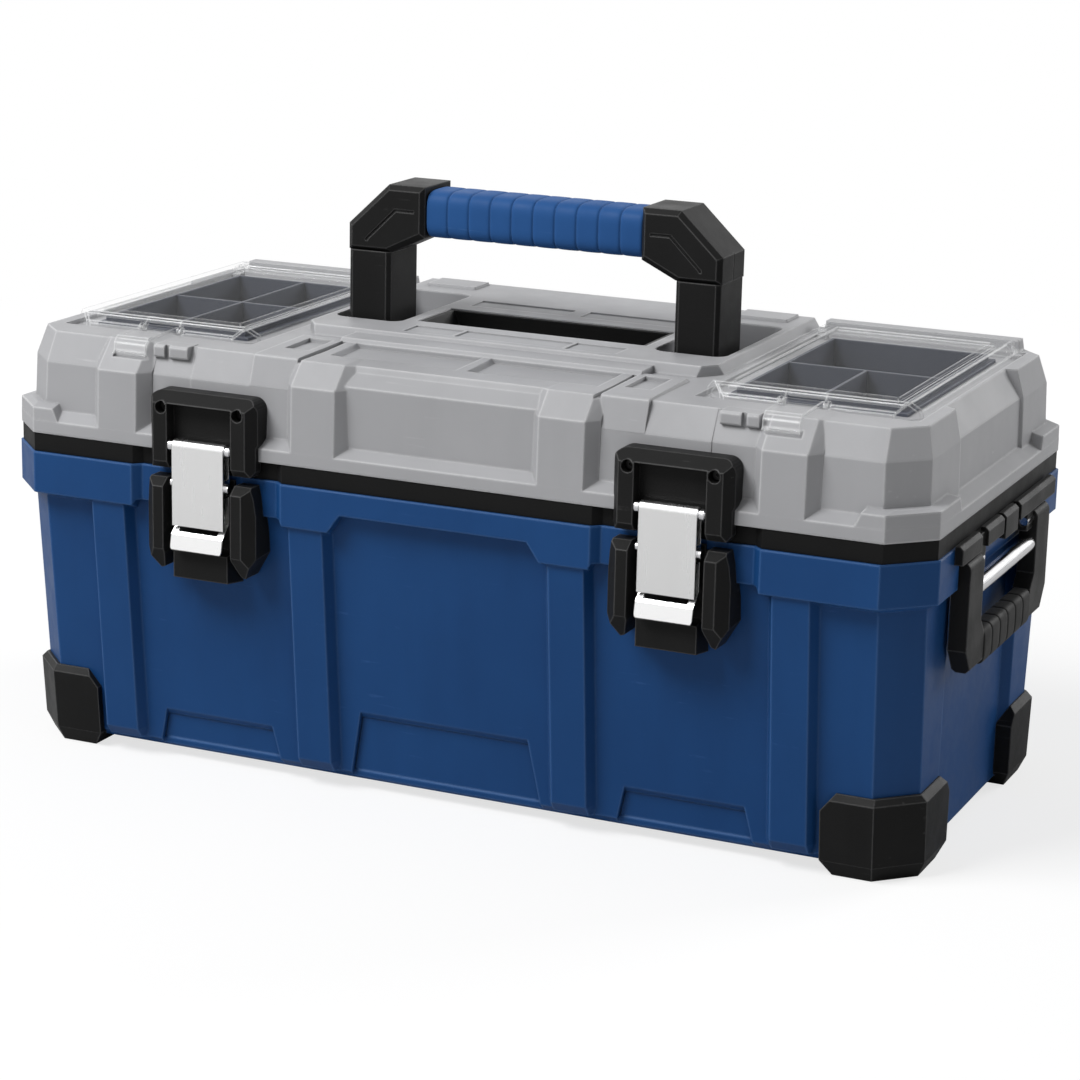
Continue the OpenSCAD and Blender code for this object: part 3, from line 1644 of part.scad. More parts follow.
// ---- hinge brackets on the rear of the rim ----
bracket_t = 3.6;
bracket_z0 = rim_z - 22;
hinge_screw_r = 2;
hinge_screw_dx = [-16.5, 16.5];
hinge_screw_z = rim_z - 14;
module hinge_bracket(side) {
  color(black)
    mirror([side < 0 ? 1 : 0, 0, 0])
      difference() {
        union() {
          translate([hinge_x, 0, 0])
            along_x(hinge_w)
              polygon([
                [collar_y, bracket_z0], [collar_y + bracket_t, bracket_z0 + 1.5],
                [collar_y + bracket_t, axis_z - knuckle_r - 2], [collar_y, axis_z - knuckle_r - 1]
              ]);
          for (s = case_knuckles)
            translate([hinge_x - hinge_w / 2 + s[0] + gap / 2, 0, 0])
              rotate([90, 0, 90])
                linear_extrude(height = s[1] - s[0] - gap)
                  polygon([
                    [collar_y, bracket_z0 + 6], [collar_y + bracket_t, bracket_z0 + 6],
                    [axis_y + knuckle_r, axis_z - 1], [axis_y, axis_z],
                    [axis_y - knuckle_r + 0.6, axis_z - 1],
                    [collar_y, rim_z - 1]
                  ]);
          knuckle_run(case_knuckles, gap / 2);
        }
        bar_at_hinge(hinge_pin_r + fit, hinge_w + 20);
        for (x = hinge_screw_dx)
          translate([hinge_x + x, collar_y - 1, hinge_screw_z])
            rotate([-90, 0, 0]) cylinder(r = hinge_screw_r, h = 20);
      }
}

// screw shanks into the rim behind each bracket
module hinge_screw_set(r, extra) {
  both_x()
    for (x = hinge_screw_dx)
      translate([hinge_x + x, collar_y - 6, hinge_screw_z])
        rotate([-90, 0, 0]) cylinder(r = r, h = 6 + extra);
}
module hinge_screws() {
  color(steel) {
    hinge_screw_set(hinge_screw_r, bracket_t);
    both_x()
      for (x = hinge_screw_dx)
        translate([hinge_x + x, collar_y + bracket_t, hinge_screw_z])
          rotate([-90, 0, 0])
            difference() {
              cylinder(r1 = 3.8, r2 = 2.8, h = 1.8);
              translate([0, 0, 0.8]) cylinder(r = 1.5, h = 2, $fn = 4);
            }
  }
}

module hinge_pin(side) {
  color(steel)
    mirror([side < 0 ? 1 : 0, 0, 0]) bar_at_hinge(hinge_pin_r, hinge_w + 3);
}

// ---- what is drawn ----
body_shell();
corner_guard(-1, false);  // corner_guard_front_left
corner_guard(1, false);  // corner_guard_front_right
corner_guard(-1, true);  // corner_guard_rear_left
corner_guard(1, true);  // corner_guard_rear_right
seal_frame();
lid_shell();
handle_well_tray();
organiser_bin(-1, cells_left);  // organiser_bin_left
organiser_bin(1, cells_right);  // organiser_bin_right
latch_housing(-1);  // latch_housing_left
latch_housing(1);  // latch_housing_right
latch_pin(-1);  // latch_pin_left
latch_pin(1);  // latch_pin_right
latch_screws();
latch_keeper(-1);  // latch_keeper_left
latch_keeper(1);  // latch_keeper_right
latch_lever(-1);  // latch_lever_left
latch_lever(1);  // latch_lever_right
latch_rivets(-1);  // latch_rivets_left
latch_rivets(1);  // latch_rivets_right
handle_frame();
handle_elbow(-1);  // handle_elbow_left
handle_elbow(1);  // handle_elbow_right
handle_grip();
handle_pins();
organiser_lid(-1);  // organiser_lid_left
organiser_lid(1);  // organiser_lid_right
organiser_clip(-1);  // organiser_clip_left
organiser_clip(1);  // organiser_clip_right
side_rail(-1);  // side_rail_left
side_rail(1);  // side_rail_right
side_handle(-1);  // side_handle_left
side_handle(1);  // side_handle_right
side_grip(-1);  // side_grip_left
side_grip(1);  // side_grip_right
side_tube(-1);  // side_tube_left
side_tube(1);  // side_tube_right
side_pins(-1);  // side_pins_left
side_pins(1);  // side_pins_right
hinge_bracket(-1);  // hinge_bracket_left
hinge_bracket(1);  // hinge_bracket_right
hinge_pin(-1);  // hinge_pin_left
hinge_pin(1);  // hinge_pin_right
hinge_screws();
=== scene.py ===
"""Looks, light and camera for a hard tool case with two draw latches and two lid organisers.

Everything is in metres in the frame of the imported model: +Z up, the case stands on z = 0 and its
front faces -Y. The CAD nodes keep their shapes and get materials. Smooth ringed sleeves take the
place of the three grips.
"""
import math

import bpy
import numpy as np
from mathutils import Matrix, Vector


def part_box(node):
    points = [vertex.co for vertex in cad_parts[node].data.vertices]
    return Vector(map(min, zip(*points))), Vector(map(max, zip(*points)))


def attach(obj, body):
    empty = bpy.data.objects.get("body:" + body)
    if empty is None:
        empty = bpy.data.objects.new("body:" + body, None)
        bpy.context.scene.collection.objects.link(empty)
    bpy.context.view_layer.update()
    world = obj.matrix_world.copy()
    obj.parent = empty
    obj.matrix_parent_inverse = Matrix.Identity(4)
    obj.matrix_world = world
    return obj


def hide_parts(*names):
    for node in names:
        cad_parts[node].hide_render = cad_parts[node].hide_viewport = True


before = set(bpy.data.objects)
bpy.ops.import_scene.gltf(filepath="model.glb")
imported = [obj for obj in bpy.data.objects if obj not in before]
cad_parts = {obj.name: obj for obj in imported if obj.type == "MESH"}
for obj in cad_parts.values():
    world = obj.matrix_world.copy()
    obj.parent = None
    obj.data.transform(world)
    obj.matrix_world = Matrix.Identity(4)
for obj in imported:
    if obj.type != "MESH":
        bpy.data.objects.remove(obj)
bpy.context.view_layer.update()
MM = 0.001

SOCKET_KINDS = {
    "number": "NodeSocketFloat", "colour": "NodeSocketColor", "vector": "NodeSocketVector",
}
# the factor and the two colours among the inputs of a colour Mix node, and its colour output
MIX_FACTOR, MIX_A, MIX_B = 0, 6, 7
MIX_RESULT = 2


# ---------------------------------------------------------------- node helpers
def node(tree, kind, place=(0, 0), **attributes):
    """Adds a node at a place in the node editor and sets its attributes."""
    added = tree.nodes.new(kind)
    added.location = place
    for key, value in attributes.items():
        setattr(added, key, value)
    return added


def feed(socket, value):
    """Links an output to an input socket, or sets the input to a plain value."""
    if isinstance(value, bpy.types.NodeSocket):
        socket.id_data.links.new(value, socket)
    else:
        socket.default_value = value


def put(target, **inputs):
    """Feeds the inputs of a node by name, with _ for a space; returns the node."""
    for key, value in inputs.items():
        feed(target.inputs[key.replace("_", " ")], value)
    return target


def paint(colour, share=1.0):
    """A plain (r, g, b) times share, at most white, as the value of a colour socket."""
    return (*(min(1, part * share) for part in colour), 1)


def math_node(tree, operation, a, b, place=(0, 0), clamp=False):
    """A Math node on two sockets or numbers; returns its output."""
    reckoned = node(tree, "ShaderNodeMath", place, operation=operation, use_clamp=clamp)
    feed(reckoned.inputs[0], a)
    feed(reckoned.inputs[1], b)
    return reckoned.outputs[0]


def ramp(tree, value, span, to=(0.0, 1.0), place=(0, 0)):
    """Takes the two ends of span to the two ends of to, eased between them and flat beyond."""
    eased = node(tree, "ShaderNodeMapRange", place, interpolation_type="SMOOTHSTEP")
    put(eased, Value=value, From_Min=span[0], From_Max=span[1], To_Min=to[0], To_Max=to[1])
    return eased.outputs["Result"]


def blend_colour(tree, factor, a, b, place=(0, 0)):
    """Colour a at factor 0 and b at factor 1, each a socket or a painted colour."""
    mix = node(tree, "ShaderNodeMix", place, data_type="RGBA")
    for index, value in ((MIX_FACTOR, factor), (MIX_A, a), (MIX_B, b)):
        feed(mix.inputs[index], value)
    return mix.outputs[MIX_RESULT]


def noise(tree, vector, place, *, scale, detail, roughness):
    """A noise texture; returns its value, which lies about 0.5."""
    texture = node(tree, "ShaderNodeTexNoise", place)
    put(texture, Vector=vector, Scale=scale, Detail=detail, Roughness=roughness)
    return texture.outputs["Fac"]


def object_place(tree, place=(-700, 200)):
    """The point being shaded, in the object's own coordinates."""
    return node(tree, "ShaderNodeTexCoord", place).outputs["Object"]


def group(name, inputs, outputs):
    """An empty shader node group from its inputs (label, kind, value) and outputs (label, kind).

    Returns the group, the sockets that enter it by name, and the node that leaves it.
    """
    tree = bpy.data.node_groups.new(name, "ShaderNodeTree")
    for label, kind, value in inputs:
        socket = tree.interface.new_socket(label, in_out="INPUT", socket_type=SOCKET_KINDS[kind])
        if value is not None:
            socket.default_value = value
    for label, kind in outputs:
        tree.interface.new_socket(label, in_out="OUTPUT", socket_type=SOCKET_KINDS[kind])
    entry = node(tree, "NodeGroupInput", (-900, 0)).outputs
    return tree, entry, node(tree, "NodeGroupOutput", (900, 0))


def use(tree, shared, place=(0, 0), **inputs):
    """Places a shared group in a material with its own values; returns its outputs."""
    return put(node(tree, "ShaderNodeGroup", place, node_tree=shared), **inputs).outputs


# ---------------------------------------------------------------- shared effects
def make_soft_edge():
    """Rounds edges in the shading and marks the outer ones.

    Normal is the surface normal averaged over Radius. Edge is 1 where that normal leaves the flat
    face's own normal, only where the surroundings are open, so inner corners stay out of it.
    Crevice is 1 deep in inner corners.
    """
    tree, entry, leave = group(
        "soft_edge",
        [("Radius", "number", 1 * MM), ("Reach", "number", 4 * MM)],
        [("Normal", "vector"), ("Edge", "number"), ("Crevice", "number")],
    )
    # cosine between the two normals, and open share of the surroundings, at mask 0 and at mask 1
    edge_cosine, edge_open, crevice_open = (0.995, 0.92), (0.72, 0.97), (0.85, 0.25)
    round_off = node(tree, "ShaderNodeBevel", (-600, 200), samples=4)
    rounded = put(round_off, Radius=entry["Radius"]).outputs["Normal"]
    face = node(tree, "ShaderNodeNewGeometry", (-600, 0))
    dot = node(tree, "ShaderNodeVectorMath", (-400, 100), operation="DOT_PRODUCT")
    feed(dot.inputs[0], rounded)
    feed(dot.inputs[1], face.outputs["True Normal"])
    turned = ramp(tree, dot.outputs["Value"], edge_cosine, place=(-200, 100))
    around = node(tree, "ShaderNodeAmbientOcclusion", (-400, -200), samples=3, only_local=True)
    openness = put(around, Distance=entry["Reach"]).outputs["AO"]
    outer = ramp(tree, openness, edge_open, place=(-200, -100))
    put(
        leave,
        Normal=rounded,
        Edge=math_node(tree, "MULTIPLY", turned, outer, (100, 0)),
        Crevice=ramp(tree, openness, crevice_open, place=(-200, -300)),
    )
    return tree


def make_moulded_grain():
    """Spark-eroded mould texture: fine noise and wider pits, as a bump on the given normal."""
    tree, entry, leave = group(
        "moulded_grain",
        [("Size", "number", 0.8 * MM), ("Depth", "number", 0.03 * MM), ("Normal", "vector", None)],
        [("Normal", "vector")],
    )
    pits_per_grain = 0.6
    spot = object_place(tree)
    scale = math_node(tree, "DIVIDE", 1.0, entry["Size"], (-700, -100))
    fine = noise(tree, spot, (-400, 200), scale=scale, detail=2.0, roughness=0.6)
    pits = node(tree, "ShaderNodeTexVoronoi", (-400, -100), feature="SMOOTH_F1")
    pit_scale = math_node(tree, "MULTIPLY", scale, pits_per_grain, (-550, -200))
    put(pits, Vector=spot, Scale=pit_scale, Smoothness=0.5)
    height = math_node(tree, "ADD", fine, pits.outputs["Distance"], (-150, 50))
    bump = node(tree, "ShaderNodeBump", (300, 0))
    put(bump, Distance=entry["Depth"], Height=height, Normal=entry["Normal"])
    put(leave, Normal=bump.outputs["Normal"])
    return tree


def make_colour_drift():
    """Uneven pigment: broad clouds and faint upright flow lines of the deep colour."""
    tree, entry, leave = group(
        "colour_drift",
        [
            ("Colour", "colour", (0.5, 0.5, 0.5, 1)), ("Deep", "colour", (0.4, 0.4, 0.4, 1)),
            ("Amount", "number", 0.3),
        ],
        [("Colour", "colour")],
    )
    cloud_span, flow_span = (0.35, 0.68), (0.4, 0.7)
    upright, flow_share = (1.0, 1.0, 0.12), 0.45
    spot = object_place(tree)
    clouds = noise(tree, spot, (-400, 200), scale=9.0, detail=4.0, roughness=0.55)
    stretch = put(node(tree, "ShaderNodeMapping", (-600, -150)), Vector=spot, Scale=upright)
    flow = noise(
        tree, stretch.outputs["Vector"], (-400, -150), scale=55.0, detail=3.0, roughness=0.5)
    lines = ramp(tree, flow, flow_span, place=(-200, -150))
    faint = math_node(tree, "MULTIPLY", lines, flow_share, (0, -150))
    broad = ramp(tree, clouds, cloud_span, place=(-200, 200))
    both = math_node(tree, "ADD", broad, faint, (150, 50))
    mask = math_node(tree, "MULTIPLY", both, entry["Amount"], (300, 50), clamp=True)
    put(leave, Colour=blend_colour(tree, mask, entry["Colour"], entry["Deep"], (500, 100)))
    return tree


def make_handling_wear():
    """Pale scuffs in patches along the outer edges, and a few slanting hairlines on the faces.

    Scuff is the mask of both. Rub is the patchy noise itself, for the gloss.
    """
    tree, entry, leave = group(
        "handling_wear",
        [("Edge", "number", 0.0), ("Amount", "number", 0.4)],
        [("Scuff", "number"), ("Rub", "number")],
    )
    edge_patch, face_patch, hair_span, hair_share = (0.42, 0.62), (0.52, 0.66), (0.66, 0.74), 0.5
    slant, thin = (0.3, 0.9, 0.5), (1.0, 14.0, 14.0)
    spot = object_place(tree, (-700, 0))
    patchy = noise(tree, spot, (-450, 150), scale=38.0, detail=5.0, roughness=0.65)
    where = ramp(tree, patchy, edge_patch, place=(-200, 150))
    edge = math_node(tree, "MULTIPLY", entry["Edge"], where, (0, 150))
    turn = node(tree, "ShaderNodeMapping", (-600, -200))
    put(turn, Vector=spot, Rotation=slant, Scale=thin)
    hair = noise(
        tree, turn.outputs["Vector"], (-450, -200), scale=24.0, detail=2.0, roughness=0.4)
    hairlines = math_node(
        tree, "MULTIPLY", ramp(tree, hair, hair_span, place=(-200, -200)),
        ramp(tree, patchy, face_patch, place=(-200, -400)), (50, -200),
    )
    faint = math_node(tree, "MULTIPLY", hairlines, hair_share, (200, -200))
    both = math_node(tree, "MAXIMUM", edge, faint, (300, 0))
    scuff = math_node(tree, "MULTIPLY", both, entry["Amount"], (500, 100), clamp=True)
    put(leave, Scuff=scuff, Rub=patchy)
    return tree


def make_brushed_sheet():
    """Rolled and brushed metal: noise, drawn out where Stretch is small, as gloss, bump and tone."""
    tree, entry, leave = group(
        "brushed_sheet",
        [
            ("Stretch", "vector", None), ("Depth", "number", 0.01 * MM), ("Low", "number", 0.2),
            ("High", "number", 0.35), ("Normal", "vector", None),
        ],
        [("Roughness", "number"), ("Normal", "vector"), ("Streak", "number")],
    )
    spread = node(tree, "ShaderNodeVectorMath", (-500, 100), operation="MULTIPLY")
    feed(spread.inputs[0], object_place(tree))
    feed(spread.inputs[1], entry["Stretch"])
    streak = noise(
        tree, spread.outputs["Vector"], (-300, 100), scale=1.0, detail=3.0, roughness=0.6)
    gloss = node(tree, "ShaderNodeMapRange", (0, 200))
    put(gloss, Value=streak, From_Min=0.3, From_Max=0.7, To_Min=entry["Low"], To_Max=entry["High"])
    bump = node(tree, "ShaderNodeBump", (200, -100))
    put(bump, Distance=entry["Depth"], Height=streak, Normal=entry["Normal"])
    put(leave, Roughness=gloss.outputs["Result"], Normal=bump.outputs["Normal"], Streak=streak)
    return tree


SOFT_EDGE = make_soft_edge()
GRAIN = make_moulded_grain()
DRIFT = make_colour_drift()
WEAR = make_handling_wear()
BRUSHED = make_brushed_sheet()


# ---------------------------------------------------------------- materials
def fresh(name):
    """A new material with one Principled BSDF; returns (material, tree, shader)."""
    mat = bpy.data.materials.new(name)
    mat.use_nodes = True
    tree = mat.node_tree
    tree.nodes.clear()
    shader = node(tree, "ShaderNodeBsdfPrincipled", (500, 0))
    put(node(tree, "ShaderNodeOutputMaterial", (800, 0)), Surface=shader.outputs["BSDF"])
    return mat, tree, shader


def moulded_plastic(name, colour, deep, worn, *, rough, radius, level, rim, grain=(0.7, 0.02),
                    drift=0.5, wear=0.35):
    """Injection-moulded plastic: drifting pigment, scuffs, painted edge highlights and crevice
    shade, grain.

    colour drifts towards deep by drift, and scuffed places turn towards worn. rough is the least
    and the most roughness, level the strength of the gloss. radius rounds the edges and grain is
    the size and depth of the texture, all in mm. rim is the share of the worn colour painted along
    every outer edge as a highlight; wear adds patches of it as real scuffs. Inner corners get
    painted shade, a dark copy of deep.
    """
    # how far corners reach, and the share and darkness of the painted shade in them
    crevice_reach, crevice_shade_share, crevice_shade_tone = 5 * MM, 0.45, 0.35
    rub_span = (0.3, 0.7)
    mat, tree, shader = fresh(name)
    put(shader, IOR=1.48, Specular_IOR_Level=level)
    edge = use(tree, SOFT_EDGE, (-900, 0), Radius=radius * MM, Reach=crevice_reach)
    tint = use(tree, DRIFT, (-600, 300), Colour=paint(colour), Deep=paint(deep), Amount=drift)
    used = use(tree, WEAR, (-600, 0), Edge=edge["Edge"], Amount=wear)
    # painted highlight: every outer edge turns partly to the worn colour; the scuff patches are real
    # wear
    edge_highlight = math_node(tree, "MULTIPLY", edge["Edge"], rim, (-450, 150))
    scuff_and_highlight_mask = math_node(tree, "MAXIMUM", edge_highlight, used["Scuff"], (-350, 150))
    pale = blend_colour(tree, scuff_and_highlight_mask, tint["Colour"], paint(worn), (-250, 250))
    # painted shade: inner corners darken towards a dark copy of deep
    shade = math_node(tree, "MULTIPLY", edge["Crevice"], crevice_shade_share, (-400, 450))
    skin = use(
        tree, GRAIN, (-250, -300), Size=grain[0] * MM, Depth=grain[1] * MM, Normal=edge["Normal"])
    put(
        shader,
        Base_Color=blend_colour(tree, shade, pale, paint(deep, crevice_shade_tone), (0, 250)),
        Roughness=ramp(tree, used["Rub"], rub_span, rough, (-250, 0)),
        Normal=skin["Normal"],
    )
    return mat


def soft_rubber(name, colour, deep, worn, *, level):
    """Over-moulded elastomer: matt, velvety at grazing angles, finely pitted."""
    mat = moulded_plastic(
        name, colour, deep, worn, rough=(0.5, 0.66), radius=0.8, level=level, rim=0.3,
        grain=(0.45, 0.03), drift=0.6, wear=0.25,
    )
    shader = next(part for part in mat.node_tree.nodes if part.type == "BSDF_PRINCIPLED")
    put(shader, Sheen_Weight=0.05, Sheen_Roughness=0.4)
    return mat


def sheet_steel(name, colour, deep, *, stretch, rough, radius, edge_tone=1.12):
    """Zinc or nickel plated steel: brushed streaks in gloss and tone.

    stretch holds the streaks per metre along each axis, rough the least and the most roughness,
    radius the rounding of the edges in mm. Edges show edge_tone times the colour as a painted
    reflection line, lighter above 1 and darker below.
    """
    # how far corners reach, and the share and darkness of the painted shade in them
    crevice_reach, crevice_shade_share, crevice_shade_tone = 2 * MM, 0.5, 0.3
    mat, tree, shader = fresh(name)
    edge = use(tree, SOFT_EDGE, (-900, 0), Radius=radius * MM, Reach=crevice_reach)
    metal = use(
        tree, BRUSHED, (-500, 0), Stretch=stretch, Depth=0.0004 * MM, Low=rough[0], High=rough[1],
        Normal=edge["Normal"],
    )
    tone = blend_colour(tree, metal["Streak"], paint(deep), paint(colour), (-200, 250))
    # painted reflection: the edges take the edge tone times the colour
    reflected_edges = blend_colour(tree, edge["Edge"], tone, paint(colour, edge_tone), (50, 250))
    # painted shade: inner corners darken towards a dark copy of deep
    dim = math_node(tree, "MULTIPLY", edge["Crevice"], crevice_shade_share, (50, 450))
    put(
        shader,
        Metallic=1.0,
        Base_Color=blend_colour(tree, dim, reflected_edges, paint(deep, crevice_shade_tone), (250, 250)),
        Roughness=metal["Roughness"],
        Normal=metal["Normal"],
    )
    return mat


def clear_plastic(name, colour):
    """Clear polystyrene, thin enough to see straight through.

    Painted glints show it: opaque white along its rounded edges and, faintly, on faces seen at a
    flat angle, in place of the light clear plastic catches there; its real scuffs show too.
    """
    # painted glints: white opacity at a flat angle and along the edges; the scuffs are real wear
    face_slant, slant_glint_alpha, scuff_alpha, edge_glint_alpha = (0.62, 1.0), (0.03, 0.14), 0.08, 0.95
    unworn_to_scuffed, rough = (0.0, 1.0), (0.04, 0.25)
    mat, tree, shader = fresh(name)
    edge = use(tree, SOFT_EDGE, (-900, 0), Radius=1.7 * MM, Reach=1.2 * MM)
    used = use(tree, WEAR, (-600, 0), Edge=edge["Edge"], Amount=0.6)
    waves = use(tree, GRAIN, (-250, -300), Size=26 * MM, Depth=0.05 * MM, Normal=edge["Normal"])
    slant = put(node(tree, "ShaderNodeLayerWeight", (-600, 500)), Blend=0.3)
    # painted reflection: faces turn faintly opaque white at a flat angle
    body = ramp(tree, slant.outputs["Facing"], face_slant, slant_glint_alpha, (-350, 500))
    scuffs = math_node(tree, "MULTIPLY", used["Scuff"], scuff_alpha, (-350, 200))
    # painted glint along the rounded edges
    edge_glints = math_node(tree, "MULTIPLY", edge["Edge"], edge_glint_alpha, (-350, 350))
    lines = math_node(tree, "MAXIMUM", edge_glints, scuffs, (-200, 300))
    put(
        shader,
        Base_Color=paint(colour),
        IOR=1.5,
        Specular_IOR_Level=0.8,
        Roughness=ramp(tree, used["Scuff"], unworn_to_scuffed, rough, (-250, 0)),
        Normal=waves["Normal"],
        Alpha=math_node(tree, "MAXIMUM", body, lines, (-100, 450), clamp=True),
    )
    return mat


BLUE = moulded_plastic(
    "case_blue", (0.0120, 0.067, 0.214), (0.0092, 0.053, 0.175), (0.09, 0.21, 0.48),
    rough=(0.36, 0.48), radius=2.0, level=0.17, rim=0.6,
)
GREY = moulded_plastic(
    "lid_grey", (0.42, 0.422, 0.436), (0.375, 0.377, 0.39), (0.80, 0.80, 0.81),
    rough=(0.4, 0.52), radius=2.0, level=0.3, rim=0.7,
)
BLACK = moulded_plastic(
    "trim_black", (0.0165, 0.0165, 0.0165), (0.012, 0.012, 0.012), (0.22, 0.22, 0.22),
    rough=(0.34, 0.46), radius=1.2, level=0.08, rim=0.5, grain=(0.6, 0.03),
)
BIN = moulded_plastic(
    "bin_grey", (0.072, 0.080, 0.105), (0.060, 0.067, 0.090), (0.30, 0.31, 0.34),
    rough=(0.42, 0.56), radius=0.7, level=0.2, rim=0.6, grain=(1.0, 0.006),
)
SEAL = soft_rubber(
    "seal_rubber", (0.007, 0.007, 0.007), (0.005, 0.005, 0.005), (0.03, 0.03, 0.03), level=0.14)
GRIP = soft_rubber(
    "grip_blue", (0.023, 0.100, 0.300), (0.018, 0.080, 0.245), (0.18, 0.36, 0.66), level=0.15)
SOFT_BLACK = soft_rubber(
    "grip_black", (0.015, 0.015, 0.015), (0.010, 0.010, 0.010), (0.09, 0.09, 0.09), level=0.1)
CLEAR = clear_plastic("clear_cover", (0.97, 0.98, 0.99))
PLATE = sheet_steel(
    "latch_plate", (0.93, 0.93, 0.93), (0.90, 0.90, 0.90),
    stretch=(160.0, 160.0, 9.0), rough=(0.24, 0.28), radius=0.6, edge_tone=0.5,
)
ROD = sheet_steel(
    "drawn_rod", (0.82, 0.82, 0.83), (0.70, 0.70, 0.72),
    stretch=(60.0, 60.0, 60.0), rough=(0.14, 0.22), radius=0.3,
)
DARK_STEEL = sheet_steel(
    "blackened_screw", (0.06, 0.06, 0.06), (0.03, 0.03, 0.03),
    stretch=(400.0, 400.0, 400.0), rough=(0.3, 0.45), radius=0.3,
)

# every other node is of the black plastic
FINISH = {
    "body_shell": BLUE, "lid_shell": GREY, "seal_frame": SEAL, "handle_grip": GRIP,
    "side_grip": SOFT_BLACK, "organiser_bin": BIN, "organiser_lid": CLEAR, "organiser_clip": CLEAR,
    "latch_lever": PLATE, "latch_pin": ROD, "latch_rivets": ROD, "side_tube": ROD, "side_pins": ROD,
    "hinge_pin": ROD, "hinge_screws": ROD, "handle_pins": ROD, "latch_screws": DARK_STEEL,
}


def finish_for(name):
    """The finish of a node, looked up by its name without the side."""
    return FINISH.get(name.replace("_left", "").replace("_right", ""), BLACK)


for name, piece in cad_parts.items():
    piece.data.materials.clear()
    piece.data.materials.append(finish_for(name))


# ---------------------------------------------------------------- moulded grips
# half sizes of the bar inside each grip
CARRY_CORE = (10 * MM, 8 * MM)
SIDE_CORE = (3.2 * MM, 5.5 * MM)
GROOVE_DEPTH = 0.9 * MM
GROOVE_WIDTH = 0.45 * MM
PILLOW = 0.12  # how far the ends of a ring fall, as a share of the groove's depth
SQUARENESS = 4  # the power of the superellipse
SLEEVE_SIDES = 72
# places of the sections along one ring, closer together near its grooves
RING_STATIONS = np.array(
    [0, 0.02, 0.045, 0.08, 0.13, 0.22, 0.36, 0.5, 0.64, 0.78, 0.87, 0.92, 0.955, 0.98])


def closed_grid(name, points, material):
    """A mesh from a (rows, columns, 3) grid that is closed both ways.

    Each face joins a point to the next one in its row, across to the next row, and back.
    """
    rows, columns = points.shape[:2]
    index = np.arange(rows * columns).reshape(rows, columns)
    down, across = np.roll(index, -1, 0), np.roll(index, -1, 1)
    quads = np.stack([index, across, np.roll(across, -1, 0), down], -1).reshape(-1, 4)
    mesh = bpy.data.meshes.new(name)
    mesh.from_pydata(points.reshape(-1, 3).tolist(), [], quads.tolist())
    mesh.polygons.foreach_set("use_smooth", np.ones(len(quads), bool))
    mesh.materials.append(material)
    obj = bpy.data.objects.new(name, mesh)
    bpy.context.collection.objects.link(obj)
    return obj


def ringed_sleeve(name, cad_node, *, along, core, rings, material):
    """A hollow grip of soft rings in the box of its CAD node, along axis 0 or 1.

    Across, it is the curve |u / a|^4 + |v / b|^4 = 1 with half sizes a and b. Along, every ring is
    a low pillow: its half sizes drop by the groove's depth times
    exp(-d / groove width) + pillow * (2 s - 1)^2, where d is the distance to the nearest groove
    and s runs from 0 to 1 along the ring. The inside is a rectangle of half sizes core, so that
    the sleeve sits on the bar that carries it.
    """
    low, high = (np.array(corner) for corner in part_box(cad_node))
    middle, half = (low + high) / 2, (high - low) / 2
    u_axis, v_axis = [axis for axis in range(3) if axis != along]
    pitch = 2 * half[along] / rings
    run = np.append((np.arange(rings)[:, None] + RING_STATIONS).ravel(), rings) * pitch
    part = (run / pitch) % 1
    near = np.minimum(part, 1 - part) * pitch
    drop = GROOVE_DEPTH * (np.exp(-near / GROOVE_WIDTH) + PILLOW * (2 * part - 1) ** 2)
    turn = np.linspace(0, 2 * math.pi, SLEEVE_SIDES + 1)[:-1]
    cos, sin = np.cos(turn), np.sin(turn)
    a, b = half[u_axis] - drop[:, None], half[v_axis] - drop[:, None]
    outside = (np.abs(cos / a) ** SQUARENESS + np.abs(sin / b) ** SQUARENESS) ** (-1 / SQUARENESS)
    # the rectangle's distance along each direction; the small number guards the division
    sideways, upward = np.maximum(np.abs(cos), 1e-6), np.maximum(np.abs(sin), 1e-6)
    inside = np.minimum(core[0] / sideways, core[1] / upward)
    reach = np.concatenate([outside, np.tile(inside, (2, 1))])
    run = np.append(run, [run[-1], 0.0])
    points = np.empty((len(run), len(turn), 3))
    points[..., along] = (low[along] + run)[:, None]
    points[..., u_axis] = middle[u_axis] + reach * cos
    points[..., v_axis] = middle[v_axis] + reach * sin
    if along == 1:
        # the two cross axes then turn the other way round, so the columns do too
        points = points[:, ::-1]
    piece = closed_grid(name, points, material)
    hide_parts(cad_node)
    return piece


carry_sleeve = ringed_sleeve(
    "carry_grip_sleeve", "handle_grip", along=0, core=CARRY_CORE, rings=10, material=GRIP)
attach(carry_sleeve, "carry_handle")
for side in ("left", "right"):
    side_sleeve = ringed_sleeve(
        f"side_grip_sleeve_{side}", f"side_grip_{side}",
        along=1, core=SIDE_CORE, rings=6, material=SOFT_BLACK,
    )
    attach(side_sleeve, f"side_bail_{side}")


# ---------------------------------------------------------------- stage, light, camera
FLOOR_RADIUS = 6
FLOOR_SIDES = 96
FLOOR_Z = -0.2 * MM
FLOOR_TONE = (0.62, 0.62, 0.62)
# distances from the middle of the case between which the floor turns plain white, and what the
# camera sees at both: the share of white in the mix, and the strength of that white
FLOOR_FADE = (0.45, 1.5)
FLOOR_WHITE_SHARE = (0.5, 1.0)
FLOOR_GLOW = (1.45, 1.0)
# strength of the world on surfaces, and to the camera and in reflections
WORLD_SOFT, WORLD_SEEN = 0.215, 1.0


